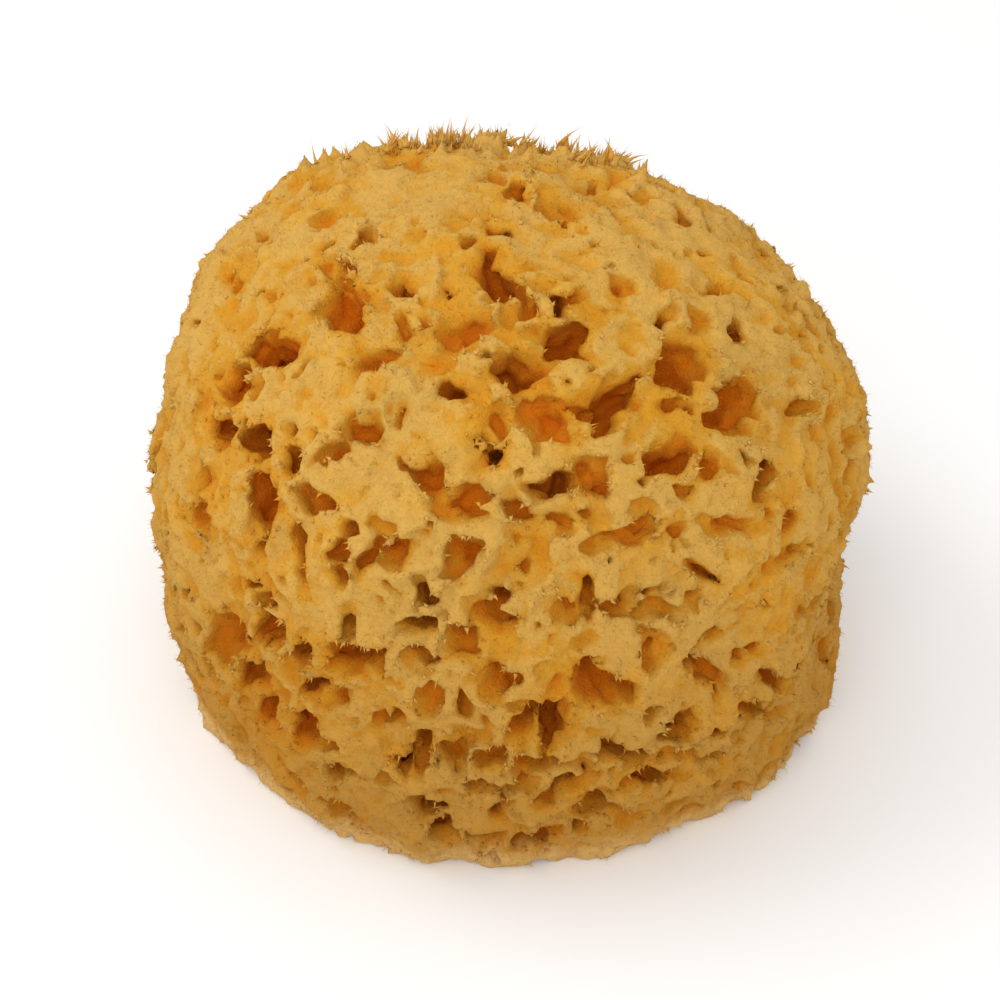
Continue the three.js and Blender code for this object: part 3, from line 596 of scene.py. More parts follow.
@dataclass
class PorousField:
    """A grid of numbers that are negative inside the sponge and grow with the distance from its surface."""

    form: SpongeForm
    pitch: float = 0.6
    low: tuple[float, float, float] = (-75.0, -73.0, -1.8)
    high: tuple[float, float, float] = (75.0, 73.0, 112.0)
    seed: int = 5
    noise_gain: float = 3.0
    warps: tuple[tuple[float, float], ...] = ((0.6, 4.4), (0.45, 2.0), (0.24, 1.1))
    lumps: tuple[float, float] = (0.6, 6.5)
    ridges: tuple[tuple[float, float, float], ...] = ((1.0, 3.1, 0.55), (0.55, 1.5, 0.3))
    ridge_cap: float = 1.2
    grain: tuple[float, float] = (0.13, 0.9)
    margin: float = 2.2
    headroom: float = 4.0
    floor_room: float = 1.5
    lip_place: float = 1.3
    lip_width: float = 1.1
    lip_height: float = 1.8
    pore_shade_reach: float = 1.8
    pore_shade_edge: float = 0.9
    pore_shade_rise: float = 1.5
    chamber_rounding: float = 0.8
    search: tuple[float, float, float] = (1.5, -3.0, -0.3)
    cone_margin: float = 1.5
    cone_spread: float = 1.6
    cone_taper: float = 1.4
    cone_rounding: float = 1.0
    value: np.ndarray = field(init=False)
    stain: np.ndarray = field(init=False)
    axes: list[np.ndarray] = field(init=False)
    warp: list[np.ndarray] = field(init=False)

    def __post_init__(self) -> None:
        """Fills the grid with the plain body and prepares the warp."""
        self.axes = [np.arange(a, b, self.pitch, dtype=np.float32) for a, b in zip(self.low, self.high)]
        coarse = [np.linspace(a[0], a[-1], len(a) // 4) for a in self.axes]
        p = np.stack(np.meshgrid(*coarse, indexing="ij"), axis=-1)
        body = -self.form.below(p)
        self.value = spread(body, self.shape, False)
        self.stain = np.zeros_like(self.value)
        parts = list(enumerate(self.warps))
        self.warp = [sum(gain * self.noise(cell, 10 * n + k) for n, (gain, cell) in parts) for k in range(3)]

    @property
    def shape(self) -> tuple[int, ...]:
        """The grid's size."""
        return tuple(len(a) for a in self.axes)

    def noise(self, cell: float, number: int) -> np.ndarray:
        """Makes smooth noise of about unit strength.

        Args:
            cell: the lattice's spacing; bumps are about twice as wide.
            number: which noise this is, for its own seed.

        Returns:
            A value for each grid point.
        """
        rng = np.random.default_rng([self.seed, number])
        knots = [int(len(a) * self.pitch / cell) + 4 for a in self.axes]
        lattice = rng.standard_normal(knots).astype(np.float32)
        return self.noise_gain * spread(lattice, self.shape, True)

    def roughen(self) -> None:
        """Gives the skin its lumps, its net of fine ridges and its grain."""
        strength, cell = self.lumps
        self.value += strength * self.noise(cell, 40)
        for number, (strength, cell, back) in enumerate(self.ridges, 41):
            self.value += strength * np.minimum(np.abs(self.noise(cell, number)), self.ridge_cap) - back
        strength, cell = self.grain
        self.value += strength * self.noise(cell, 43)

    def _block(self, low: np.ndarray, high: np.ndarray) -> tuple[slice, ...]:
        """Gives the part of the grid between two corners."""
        spans = []
        for axis, a, b in zip(self.axes, low, high):
            spans.append(slice(*np.searchsorted(axis, (a, b)).tolist()))
        return tuple(spans)

    def _places(self, block: tuple[slice, ...], warped: bool = True) -> np.ndarray:
        """Gives the coordinates of a block's points, shifted by the warp."""
        p = np.stack(np.meshgrid(*[a[s] for a, s in zip(self.axes, block)], indexing="ij"), axis=-1)
        if warped:
            p = p + np.stack([w[block] for w in self.warp], axis=-1)
        return p

    def carve(self, pore: LaidPore, shape: PoreShape, lip: float = 0.0, strength: float = 1.0) -> None:
        """Cuts a pore into the body.

        Args:
            pore: the pore.
            shape: how it strays from a round shaft.
            lip: how far its rim is raised first.
            strength: how much of the warp the pore follows.
        """
        reach = 1.5 * (np.abs(pore.long) + np.abs(pore.wide)) + self.margin
        top = pore.at + self.headroom * pore.out
        bottom = pore.at - (pore.depth + self.floor_room) * pore.out + shape.slant * pore.depth
        block = self._block(np.minimum(top, bottom) - reach, np.maximum(top, bottom) + reach)
        if 0 in self.value[block].shape:
            return
        p = self._places(block, False) - pore.at
        p += strength * np.stack([w[block] for w in self.warp], axis=-1)
        m = -(p @ pore.out)
        p -= np.maximum(m, 0)[..., None] * shape.slant
        a, b = self._inside_axes(p, pore)
        q = shape.edge(a, b)
        size = float(2 / (1 / np.linalg.norm(pore.long) + 1 / np.linalg.norm(pore.wide)))
        if lip:
            across = (q - self.lip_place) * size / self.lip_width
            self.value[block] -= lip * np.exp(-(across ** 2) - (m / self.lip_height) ** 2)
        section = shape.section(m, pore.depth)
        wall = np.maximum((q - section) * size, (m - pore.depth) * shape.floor_gain)
        self.value[block] = smooth_max(self.value[block], -wall, shape.rounding)
        # Painted shade mask: how much of the pore's painted shade and amber bounce light each point takes,
        # fading out from the pore and above its mouth.
        shade_share = np.clip((self.pore_shade_reach - q) / self.pore_shade_edge, 0, 1)
        shade_share *= np.exp(-np.maximum(-m, 0) / self.pore_shade_rise)
        self.stain[block] = np.maximum(self.stain[block], shade_share * pore.stain)

    @staticmethod
    def _inside_axes(p: np.ndarray, pore: LaidPore) -> tuple[np.ndarray, np.ndarray]:
        """Gives each point's place along a pore's two half-axes, which needn't be square to each other."""
        ll, lw, ww = float(pore.long @ pore.long), float(pore.long @ pore.wide), float(pore.wide @ pore.wide)
        det = ll * ww - lw * lw
        pl, pw = p @ pore.long, p @ pore.wide
        return (pl * ww - pw * lw) / det, (pw * ll - pl * lw) / det

    def hollow(self, at: np.ndarray, radius: float) -> None:
        """Cuts a round chamber."""
        block = self._block(at - radius - 2, at + radius + 2)
        if 0 in self.value[block].shape:
            return
        away = np.linalg.norm(self._places(block) - at, axis=-1) - radius
        self.value[block] = smooth_max(self.value[block], -away, self.chamber_rounding)

    def raise_cone(
        self, at: np.ndarray, out: np.ndarray, length: float, radius: float, root: float = 2.0,
    ) -> None:
        """Stands a pointed tuft on the body, if there is body not far under it.

        Args:
            at: its middle on the skin.
            out: the way it points.
            length: how far it stands out.
            radius: its radius at the skin.
            root: how far it goes in.
        """
        way = np.arange(*self.search)
        solid = self.sample(self.value, at + way[:, None] * out) < 0
        if not solid.any():
            return
        at = at + float(way[np.argmax(solid)]) * out
        reach = radius + root + self.cone_margin
        tip = at + length * out
        block = self._block(np.minimum(at, tip) - reach, np.maximum(at, tip) + reach)
        if 0 in self.value[block].shape:
            return
        p = self._places(block, False) - at
        h = p @ out
        away = np.linalg.norm(p - h[..., None] * out, axis=-1)
        taper = radius * np.clip(1 - h / length, 0.0, self.cone_spread) ** self.cone_taper
        cone = np.maximum(np.maximum(away - taper, h - length), -h - root)
        self.value[block] = -smooth_max(-self.value[block], -cone, self.cone_rounding)

    def cut_foot(self) -> None:
        """Cuts the body off flat at the foot."""
        self.value = np.maximum(self.value, -self.axes[2][None, None, :])

    def crowding(self, reach: float) -> np.ndarray:
        """Gives how full of sponge the neighbourhood of each point is.

        Args:
            reach: half the neighbourhood's width.

        Returns:
            0 in the open, about a half on a flat face, and 1 deep inside.
        """
        full = np.clip(0.5 - self.value / self.pitch, 0, 1).astype(np.float32)
        n = int(round(reach / self.pitch))
        for axis in range(3):
            padded = np.pad(full, [(n + 1, n) if k == axis else (0, 0) for k in range(3)], mode="edge")
            total = np.cumsum(padded, axis=axis, dtype=np.float64).astype(np.float32)
            size = full.shape[axis]
            full = (np.take(total, range(2 * n + 1, 2 * n + 1 + size), axis)
                    - np.take(total, range(size), axis)) / (2 * n + 1)
        return full

    def sample(self, values: np.ndarray, p: np.ndarray) -> np.ndarray:
        """Reads a grid of values at points, straight between its grid points."""
        t = [(p[:, k] - self.axes[k][0]) / self.pitch for k in range(3)]
        i = [np.clip(np.floor(u).astype(int), 0, s - 2) for u, s in zip(t, self.shape)]
        f = [u - j for u, j in zip(t, i)]
        total = np.zeros(len(p))
        for corner in range(8):
            step = [(corner >> k) & 1 for k in range(3)]
            weight = np.prod([f[k] if step[k] else 1 - f[k] for k in range(3)], axis=0)
            total += weight * values[i[0] + step[0], i[1] + step[1], i[2] + step[2]]
        return total

    def surface(self) -> tuple[np.ndarray, np.ndarray]:
        """Wraps a net of quads round the body.

        Returns:
            The net's points, and its faces as four point numbers each, facing out.
        """
        v = self.value
        shape = np.array(self.shape)
        stride = np.array([shape[1] * shape[2], shape[2], 1])
        inside = v < 0
        cells, points, quads = [], [], []
        for axis in range(3):
            ahead = [slice(1, None) if k == axis else slice(None) for k in range(3)]
            behind = [slice(None, -1) if k == axis else slice(None) for k in range(3)]
            spots = np.argwhere(inside[tuple(ahead)] != inside[tuple(behind)])
            a = v[tuple(spots.T)]
            after = spots.copy()
            after[:, axis] += 1
            b = v[tuple(after.T)]
            place = spots.astype(np.float64)
            place[:, axis] += a / (a - b)
            j, k = (axis + 1) % 3, (axis + 2) % 3
            base = spots @ stride
            beside, beneath = base - stride[j], base - stride[k]
            corners = np.stack([base, beside, beside - stride[k], beneath], axis=1)
            corners[a > 0] = corners[a > 0][:, ::-1]
            quads.append(corners)
            cells.append(corners.ravel())
            points.append(np.repeat(place, 4, axis=0))
        quads, cells, points = np.concatenate(quads), np.concatenate(cells), np.concatenate(points)
        used, number = np.unique(cells, return_inverse=True)
        count = np.bincount(number)
        place = np.stack([np.bincount(number, points[:, k]) / count for k in range(3)], axis=1)
        faces = number.reshape(-1, 4)
        start = np.array([a[0] for a in self.axes])
        return place * self.pitch + start, faces


def mesh_object(name: str, points: np.ndarray, faces: np.ndarray) -> bpy.types.Object:
    """Makes a mesh object at the origin, with its place in its mesh.

    Args:
        name: the piece's name.
        points: its points, in millimetres.
        faces: its faces, all with the same number of points.

    Returns:
        The object.
    """
    mesh = bpy.data.meshes.new(name)
    corners = faces.shape[1]
    mesh.vertices.add(len(points))
    mesh.vertices.foreach_set("co", (points * MM).astype(np.float32).ravel())
    mesh.loops.add(faces.size)
    mesh.loops.foreach_set("vertex_index", faces.astype(np.int32).ravel())
    mesh.polygons.add(len(faces))
    mesh.polygons.foreach_set("loop_start", np.arange(0, faces.size, corners, dtype=np.int32))
    mesh.update(calc_edges=True)
    mesh.polygons.foreach_set("use_smooth", np.ones(len(faces), bool))
    piece = bpy.data.objects.new(name, mesh)
    bpy.context.collection.objects.link(piece)
    return piece


def set_values(piece: bpy.types.Object, name: str, values: np.ndarray) -> None:
    """Stores a number on each point of a piece."""
    attribute = piece.data.attributes.new(name, "FLOAT", "POINT")
    attribute.data.foreach_set("value", values.astype(np.float32))


def points_of(piece: bpy.types.Object) -> np.ndarray:
    """Reads a piece's points, in millimetres."""
    values = np.empty(len(piece.data.vertices) * 3, np.float32)
    piece.data.vertices.foreach_get("co", values)
    return values.reshape(-1, 3).astype(np.float64) / MM


def normals_of(piece: bpy.types.Object) -> np.ndarray:
    """Reads the normals at a piece's points."""
    values = np.empty(len(piece.data.vertices) * 3, np.float32)
    piece.data.vertex_normals.foreach_get("vector", values)
    return values.reshape(-1, 3).astype(np.float64)


def areas_of(piece: bpy.types.Object) -> np.ndarray:
    """Gives each point of a piece its share of the surface."""
    mesh = piece.data
    corners = np.empty(len(mesh.loops), np.int32)
    mesh.loops.foreach_get("vertex_index", corners)
    areas, counts = np.empty(len(mesh.polygons), np.float32), np.empty(len(mesh.polygons), np.int32)
    mesh.polygons.foreach_get("area", areas)
    mesh.polygons.foreach_get("loop_total", counts)
    return np.bincount(corners, np.repeat(areas, counts), len(mesh.vertices))


def triangles_of(piece: bpy.types.Object) -> int:
    """Counts the triangles that a piece's faces make."""
    return len(piece.data.loops) - 2 * len(piece.data.polygons)


def pick_only(piece: bpy.types.Object) -> None:
    """Selects one object and nothing else."""
    bpy.ops.object.select_all(action="DESELECT")
    piece.select_set(True)
    bpy.context.view_layer.objects.active = piece


def drop_loose(piece: bpy.types.Object) -> None:
    """Deletes the bits of a mesh that don't hang on its main part."""
    pick_only(piece)
    mesh = piece.data
    total = len(mesh.vertices)
    for start in range(0, total, max(1, total // 40)):
        bpy.ops.object.mode_set(mode="EDIT")
        bpy.ops.mesh.select_all(action="DESELECT")
        bpy.ops.object.mode_set(mode="OBJECT")
        mesh.vertices[start].select = True
        bpy.ops.object.mode_set(mode="EDIT")
        bpy.ops.mesh.select_linked()
        bpy.ops.object.mode_set(mode="OBJECT")
        picked = np.empty(total, bool)
        mesh.vertices.foreach_get("select", picked)
        if picked.sum() > total / 2:
            break
    bpy.ops.object.mode_set(mode="EDIT")
    bpy.ops.mesh.select_all(action="INVERT")
    bpy.ops.mesh.delete(type="VERT")
    bpy.ops.object.mode_set(mode="OBJECT")


def srgb(red: int, green: int, blue: int) -> tuple[float, float, float, float]:
    """Turns a colour in 0 to 255 into the linear one that a shader takes."""
    parts = [c / 255 for c in (red, green, blue)]
    line = [c / 12.92 if c <= 0.04045 else ((c + 0.055) / 1.055) ** 2.4 for c in parts]
    return (line[0], line[1], line[2], 1.0)


class Signal:
    """A number in a shader, which takes part in Python expressions."""

    def __init__(self, kit: "ShaderKit", socket: bpy.types.NodeSocket) -> None:
        """Wraps an output socket."""
        self.kit = kit
        self.socket = socket

    def _math(self, operation: str, *values: Any) -> "Signal":
        """Adds a Math node."""
        return self.kit.node("ShaderNodeMath", {"operation": operation}, list(values))

    def __add__(self, other: Any) -> "Signal":
        """Adds."""
        return self._math("ADD", self, other)

    def __radd__(self, other: Any) -> "Signal":
        """Adds, from the right."""
        return self._math("ADD", other, self)

    def __sub__(self, other: Any) -> "Signal":
        """Subtracts."""
        return self._math("SUBTRACT", self, other)

    def __rsub__(self, other: Any) -> "Signal":
        """Subtracts from the other."""
        return self._math("SUBTRACT", other, self)

    def __mul__(self, other: Any) -> "Signal":
        """Multiplies."""
        return self._math("MULTIPLY", self, other)

    def between(self, low: float, high: float) -> "Signal":
        """Gives 0 below low, 1 above high, and a smooth step between."""
        return self.kit.node(
            "ShaderNodeMapRange",
            {"interpolation_type": "SMOOTHSTEP"},
            {"Value": self, "From Min": low, "From Max": high},
        )


class ShaderKit:
    """Adds nodes to one material."""

    def __init__(self, material: bpy.types.Material) -> None:
        """Starts an empty node tree."""
        material.use_nodes = True
        self.tree = material.node_tree
        self.tree.nodes.clear()

    def node(
        self, kind: str, settings: dict[str, Any], inputs: dict[str, Any] | list[Any], out: Any = 0,
    ) -> Signal:
        """Adds a node.

        Args:
            kind: the node's type.
            settings: its properties; "stops" gives a ramp's places and colours.
            inputs: values or signals for its sockets, by name or in order.
            out: which output to give back.

        Returns:
            That output.
        """
        node = self.tree.nodes.new(kind)
        for name, value in settings.items():
            if name == "stops":
                for k, (place, colour) in enumerate(value):
                    stops = node.color_ramp.elements
                    stop = stops[k] if k < 2 else stops.new(place)
                    stop.position = place
                    stop.color = colour
            else:
                setattr(node, name, value)
        items = inputs.items() if isinstance(inputs, dict) else enumerate(inputs)
        for key, value in items:
            if isinstance(value, Signal):
                self.tree.links.new(value.socket, node.inputs[key])
            else:
                node.inputs[key].default_value = value
        return Signal(self, node.outputs[out])

    def close(self, shader: Signal) -> None:
        """Links the shader to the material's output."""
        output = self.tree.nodes.new("ShaderNodeOutputMaterial")
        self.tree.links.new(shader.socket, output.inputs["Surface"])

    def attribute(self, name: str) -> Signal:
        """Reads a number stored on the piece's points."""
        return self.node("ShaderNodeAttribute", {"attribute_name": name}, {}, "Fac")

    def mix(self, amount: Any, a: Any, b: Any, blend: str = "MIX") -> Signal:
        """Mixes two colours."""
        settings = {"data_type": "RGBA", "blend_type": blend}
        return self.node("ShaderNodeMix", settings, {0: amount, 6: a, 7: b}, 2)

    def noise(
        self, place: Signal, scale: float, detail: float = 2.0, rough: float = 0.5, swirl: float = 0.0,
    ) -> Signal:
        """Adds noise over the object's own coordinates."""
        values = {"Vector": place, "Scale": scale, "Detail": detail, "Roughness": rough, "Distortion": swirl}
        return self.node("ShaderNodeTexNoise", {}, values, 0)


@dataclass(frozen=True)
class FibreFinish:
    """Dry golden sponge fibre: straw on the ridges; painted shade and bounce light turn it orange and brown
    down in the pores.
    """

    name: str = "sponge_fibre"
    cream: tuple[float, ...] = srgb(208, 161, 77)
    straw: tuple[float, ...] = srgb(205, 148, 51)
    olive: tuple[float, ...] = srgb(196, 153, 74)
    gold: tuple[float, ...] = srgb(205, 140, 34)
    glow: tuple[float, ...] = srgb(216, 156, 48)
    # amber and brown: colours of the painted shade deep in the pores.
    amber: tuple[float, ...] = srgb(206, 124, 22)
    brown: tuple[float, ...] = srgb(217, 119, 14)
    # cut: a painted highlight colour, pale cream along the bottom rim just above the flat cut.
    cut: tuple[float, ...] = srgb(226, 188, 122)
    # Painted shade: the colour that darkens the lower part of the sponge.
    painted_foot_shade: tuple[float, ...] = (0.69, 0.57, 0.39, 1.0)
    # Painted shade: the dark brown of the shade inside tiny holes.
    pinhole_shade: tuple[float, ...] = srgb(120, 58, 12)
    roughness: float = 0.9
    bump_depth: float = 0.0009
    bump_strength: float = 0.9
    foot_shade_span: tuple[float, float] = (-0.015, 0.092)
    rim_highlight_span: tuple[float, float] = (0.002, 0.009)
    least_shade: float = 0.76

    def build(self) -> bpy.types.Material:
        """Makes the material."""
        material = bpy.data.materials.new(self.name)
        kit = ShaderKit(material)
        place = kit.node("ShaderNodeTexCoord", {}, {}, "Object")
        depth, crowd, nook = (kit.attribute(name) for name in ("depth", "crowd", "nook"))
        stain, tone = kit.attribute("stain"), kit.attribute("tone")
        broad = kit.noise(place, 32.0)
        blotch = kit.noise(place, 75.0)
        fine = kit.noise(place, 300.0, 3.0, 0.6)
        grain = kit.noise(place, 900.0, 2.0, 0.7, 2.5)
        mottle = (fine - 0.5) * 0.5 + (blotch - 0.5) * 0.6 + (broad - 0.5) * 0.7 + (grain - 0.5) * 0.25
        # Painted shade and bounce light: deeper, more crowded and more pore-shaded points go from cream
        # through gold to amber and brown; the mottle adds the fibre's own random tone.
        shade_and_mottle = (stain * 0.58 + depth * 0.7 + crowd * 0.65 + nook * 0.12 - 0.36 + mottle).between(0.0, 1.3)
        colours = (self.cream, self.straw, self.gold, self.amber, self.brown)
        stops = list(zip((0.0, 0.07, 0.3, 0.6, 1.0), colours))
        ramp = kit.node("ShaderNodeValToRGB", {"stops": stops}, {"Fac": shade_and_mottle}, 0)
        outer = 1 - depth.between(0.05, 0.25)
        colour = kit.mix(broad.between(0.5, 0.3) * outer * 0.45, ramp, self.olive)
        colour = kit.mix(blotch.between(0.45, 0.75) * outer * 0.5, colour, self.glow)
        # Painted shade: small dark specks stand for the shade inside tiny holes.
        colour = kit.mix(fine.between(0.72, 0.78) * 0.5, colour, self.pinhole_shade)
        light = self.least_shade + tone * 0.16 + fine * 0.14 + grain * 0.16
        shade = kit.node("ShaderNodeCombineColor", {}, [light] * 3, 0)
        colour = kit.mix(1.0, colour, shade, "MULTIPLY")
        height = kit.node("ShaderNodeSeparateXYZ", {}, [place], "Z")
        # Painted shade: the colour is multiplied darker towards the bottom, by height.
        colour = kit.mix(1 - height.between(*self.foot_shade_span), colour, self.painted_foot_shade, "MULTIPLY")
        # Painted highlight: a pale band along the bottom rim of the outer skin.
        rim_highlight_mask = (1 - (height + (fine - 0.5) * 0.01).between(*self.rim_highlight_span)) * outer * 0.55
        colour = kit.mix(rim_highlight_mask, colour, self.cut)
        relief = fine * 0.6 + grain * 0.4
        bumps = {"Height": relief, "Distance": self.bump_depth, "Strength": self.bump_strength}
        bump = kit.node("ShaderNodeBump", {}, bumps, 0)
        values = {
            "Base Color": colour,
            "Roughness": self.roughness,
            "Normal": bump,
            "Specular IOR Level": 0.08,
            "Sheen Weight": 0.1,
            "Sheen Roughness": 0.5,
            "Sheen Tint": self.cream,
        }
        shader = kit.node("ShaderNodeBsdfPrincipled", {}, values, 0)
        kit.close(shader)
        return material


@dataclass
class SpongeBody:
    """The porous body: one closed mesh."""

    form: SpongeForm
    pores: PoreMap
    face_limit: int = 188000
    chamber_from: float = 9.0
    chambers: int = 2
    chamber_aside: float = 0.7
    chamber_downs: tuple[float, float] = (0.6, 1.0)
    chamber_sizes: tuple[float, float] = (0.35, 0.5)
    large_from: float = 1.6
    lip: float = 0.5
    tuft_count: int = 36
    lowest_tuft: float = -0.5
    tuft_radius: float = 1.5
    conules: int = 420
    conule_lengths: tuple[float, float] = (0.9, 2.2)
    conule_radii: tuple[float, float] = (0.7, 1.1)
    lowest_conule: float = -0.6
    conule_lean: float = 0.35
    crown_tufts: int = 110
    crown_turn: tuple[float, float] = (-0.06, 0.3)
    crown_turns: tuple[float, float] = (-0.6, 0.55)
    crown_backs: tuple[float, float] = (-0.4, 0.35)
    crown_scatter: float = 0.2
    crown_lengths: tuple[float, float] = (2.5, 6.0)
    crown_radii: tuple[float, float] = (1.1, 1.9)
    floor_pits: float = 0.9
    floor_pit_places: tuple[float, float] = (0.2, 0.9)
    floor_pit_sizes: tuple[float, float] = (0.6, 1.3)
    floor_pit_depth: float = 2.5
    floor_pit_warp: float = 0.5
    small_pit_warp: float = 0.6
    cut_slack: float = 1.5
    full_depth: float = 12.0
    most_depth: float = 1.5
    crowd_reach: float = 3.2
    nook_reach: float = 1.2
    seed: int = 21
    name: str = "sponge_body"
    porous: PorousField = field(init=False)
    crowd: np.ndarray = field(init=False)
    nook: np.ndarray = field(init=False)
    piece: bpy.types.Object = field(init=False)

    def build(self, finish: bpy.types.Material) -> bpy.types.Object:
        """Grows the body, wraps it in a mesh and dresses it.

        Args:
            finish: its material.

        Returns:
            The piece.
        """
        self.porous = PorousField(self.form)
        self.porous.roughen()
        log.info("field %s", self.porous.shape)
        self._open_pores()
        self._stand_tufts()
        self.porous.cut_foot()
        plain = PoreShape(np.zeros(3), rounding=0.4)
        for pore in self.pores.foot():
            self.porous.carve(pore, plain)
        points, faces = self.porous.surface()
        log.info("net of %d faces", len(faces))
        self.piece = mesh_object(self.name, points, faces)
        pick_only(self.piece)
        thin = self.piece.modifiers.new("thin", "DECIMATE")
        thin.ratio = min(1.0, self.face_limit / (2 * len(faces)))
        bpy.ops.object.modifier_apply(modifier=thin.name)
        drop_loose(self.piece)
        bpy.ops.object.shade_smooth()
        self.crowd = self.porous.crowding(self.crowd_reach)
        self.nook = self.porous.crowding(self.nook_reach)
        self.mark(self.piece, points_of(self.piece))
        self.piece.data.materials.append(finish)
        log.info("%s: %d triangles", self.name, triangles_of(self.piece))
        return self.piece

    def _open_pores(self) -> None:
        """Cuts every pore, the large ones with chambers at their foot."""
        rng = np.random.default_rng(self.seed)
        pores = self.pores.front() + self.pores.back()
        pores += self.pores.between(pores)
        for pore in pores:
            shape = PoreShape.drawn(pore, rng)
            self.porous.carve(pore, shape, lip=self.lip if pore.size > self.large_from else 0.0)
            for _ in range(int(pore.size * self.floor_pits)):
                turn, share = rng.uniform(0, 2 * math.pi), rng.uniform(*self.floor_pit_places)
                aside = share * (math.cos(turn) * pore.long + math.sin(turn) * pore.wide)
                at = pore.at - (pore.out - shape.slant) * pore.depth * math.sqrt(1 - share * share) + aside
                half = rng.uniform(*self.floor_pit_sizes)
                long, wide = half * unit(pore.long), half * unit(np.cross(pore.out, pore.long))
                pit = LaidPore(at, long, wide, pore.out, self.floor_pit_depth)
                self.porous.carve(pit, PoreShape.drawn(pit, rng), strength=self.floor_pit_warp)
            if pore.depth < self.chamber_from or pore.size < self.large_from:
                continue
            for _ in range(self.chambers):
                turn = rng.uniform(0, 2 * math.pi)
                aside = self.chamber_aside * (math.cos(turn) * pore.long + math.sin(turn) * pore.wide)
                down = pore.depth * rng.uniform(*self.chamber_downs)
                at = pore.at - (pore.out - shape.slant) * down + aside
                self.porous.hollow(at, pore.size * rng.uniform(*self.chamber_sizes))
        for pit in self.pores.small():
            self.porous.carve(pit, PoreShape.drawn(pit, rng), strength=self.small_pit_warp)
        log.info("%d pores", len(pores))

    def tufts(self) -> list[tuple[np.ndarray, np.ndarray, float]]:
        """Gives the large tufts: where each stands, where it points, and its length."""
        view = self.form.view
        found = []
        for right, length in EDGE_TUFTS:
            aside = (right - view.heart_right) / self.form.half_width
            found.append((view.right * aside + view.up * math.sqrt(1 - aside * aside), length))
        for i in range(self.tuft_count):
            d = spiral_point(i, self.tuft_count)
            if d[2] > self.lowest_tuft:
                found.append((d, SPREAD_TUFTS[i % len(SPREAD_TUFTS)]))
        return [(self.form.point(d), unit(self.form.normal(d) + d), length) for d, length in found]

    def _stand_tufts(self) -> None:
        """Stands the large tufts and many small conules on the skin."""
        rng = np.random.default_rng(self.seed + 1)
        for at, out, length in self.tufts():
            self.porous.raise_cone(at, out, length, self.tuft_radius)
        view = self.form.view
        for _ in range(self.crown_tufts):
            turn = float(np.clip(rng.normal(*self.crown_turn), *self.crown_turns))
            aside, along = math.sin(turn), math.cos(turn)
            d = unit(aside * view.right + along * view.up + rng.uniform(*self.crown_backs) * view.back)
            lean = 0.5 * view.up + 0.3 * view.right
            out = unit(self.form.normal(d) + lean + self.crown_scatter * rng.normal(size=3))
            length, radius = rng.uniform(*self.crown_lengths), rng.uniform(*self.crown_radii)
            self.porous.raise_cone(self.form.point(d), out, length, radius)
        for _ in range(self.conules):
            d = unit(rng.normal(size=3))
            lean = rng.normal(size=3) * self.conule_lean
            length, radius = rng.uniform(*self.conule_lengths), rng.uniform(*self.conule_radii)
            if d[2] > self.lowest_conule:
                out = unit(self.form.normal(d) + lean)
                self.porous.raise_cone(self.form.point(d), out, length, radius)

    def mark(self, piece: bpy.types.Object, points: np.ndarray, tone: np.ndarray | None = None) -> None:
        """Stores how deep and how crowded each point of a piece is.

        Args:
            piece: the piece.
            points: the places to read for its points, in millimetres.
            tone: how pale each point is, from 0 to 1.
        """
        # The depth, crowd, nook and pore shade stored here drive the finish's painted shade and bounce light.
        depth = np.minimum(self.form.below(points), points[:, 2] + self.cut_slack)
        set_values(piece, "depth", np.clip(depth / self.full_depth, 0, self.most_depth))
        set_values(piece, "crowd", self.porous.sample(self.crowd, points))
        set_values(piece, "nook", self.porous.sample(self.nook, points))
        set_values(piece, "stain", self.porous.sample(self.porous.stain, points))
        set_values(piece, "tone", np.full(len(points), 0.5) if tone is None else tone)


@dataclass(frozen=True)
class Strand:
    """One pointed fibre, modelled once, from 0 to 1 along +Z and of radius 1."""

    sides: int
    bends: int

    def model(self) -> tuple[np.ndarray, np.ndarray]:
        """Models the fibre.

        Returns:
            Its points and its triangles.
        """
        bpy.ops.object.select_all(action="DESELECT")
        middle = (0, 0, 0.5)
        bpy.ops.mesh.primitive_cone_add(vertices=self.sides, radius1=1, radius2=0, depth=1, location=middle)
        piece = bpy.context.object
        bpy.ops.object.mode_set(mode="EDIT")
        for k in range(self.bends):
            height = (k + 1) / (self.bends + 1)
            bpy.ops.mesh.select_all(action="SELECT")
            bpy.ops.mesh.bisect(plane_co=(0, 0, height), plane_no=(0, 0, 1))
        bpy.ops.mesh.select_all(action="SELECT")
        bpy.ops.mesh.quads_convert_to_tris()
        bpy.ops.object.mode_set(mode="OBJECT")
        bpy.ops.object.transform_apply(location=True, rotation=True, scale=True)
        points = points_of(piece) * MM
        faces = np.array([list(p.vertices) for p in piece.data.polygons if len(p.vertices) == 3])
        bpy.data.objects.remove(piece, do_unlink=True)
        return points, faces


class Zone(Enum):
    """Where a coat of fibres grows."""

    SKIN = 0
    RIMS = 1
    CROWN = 2


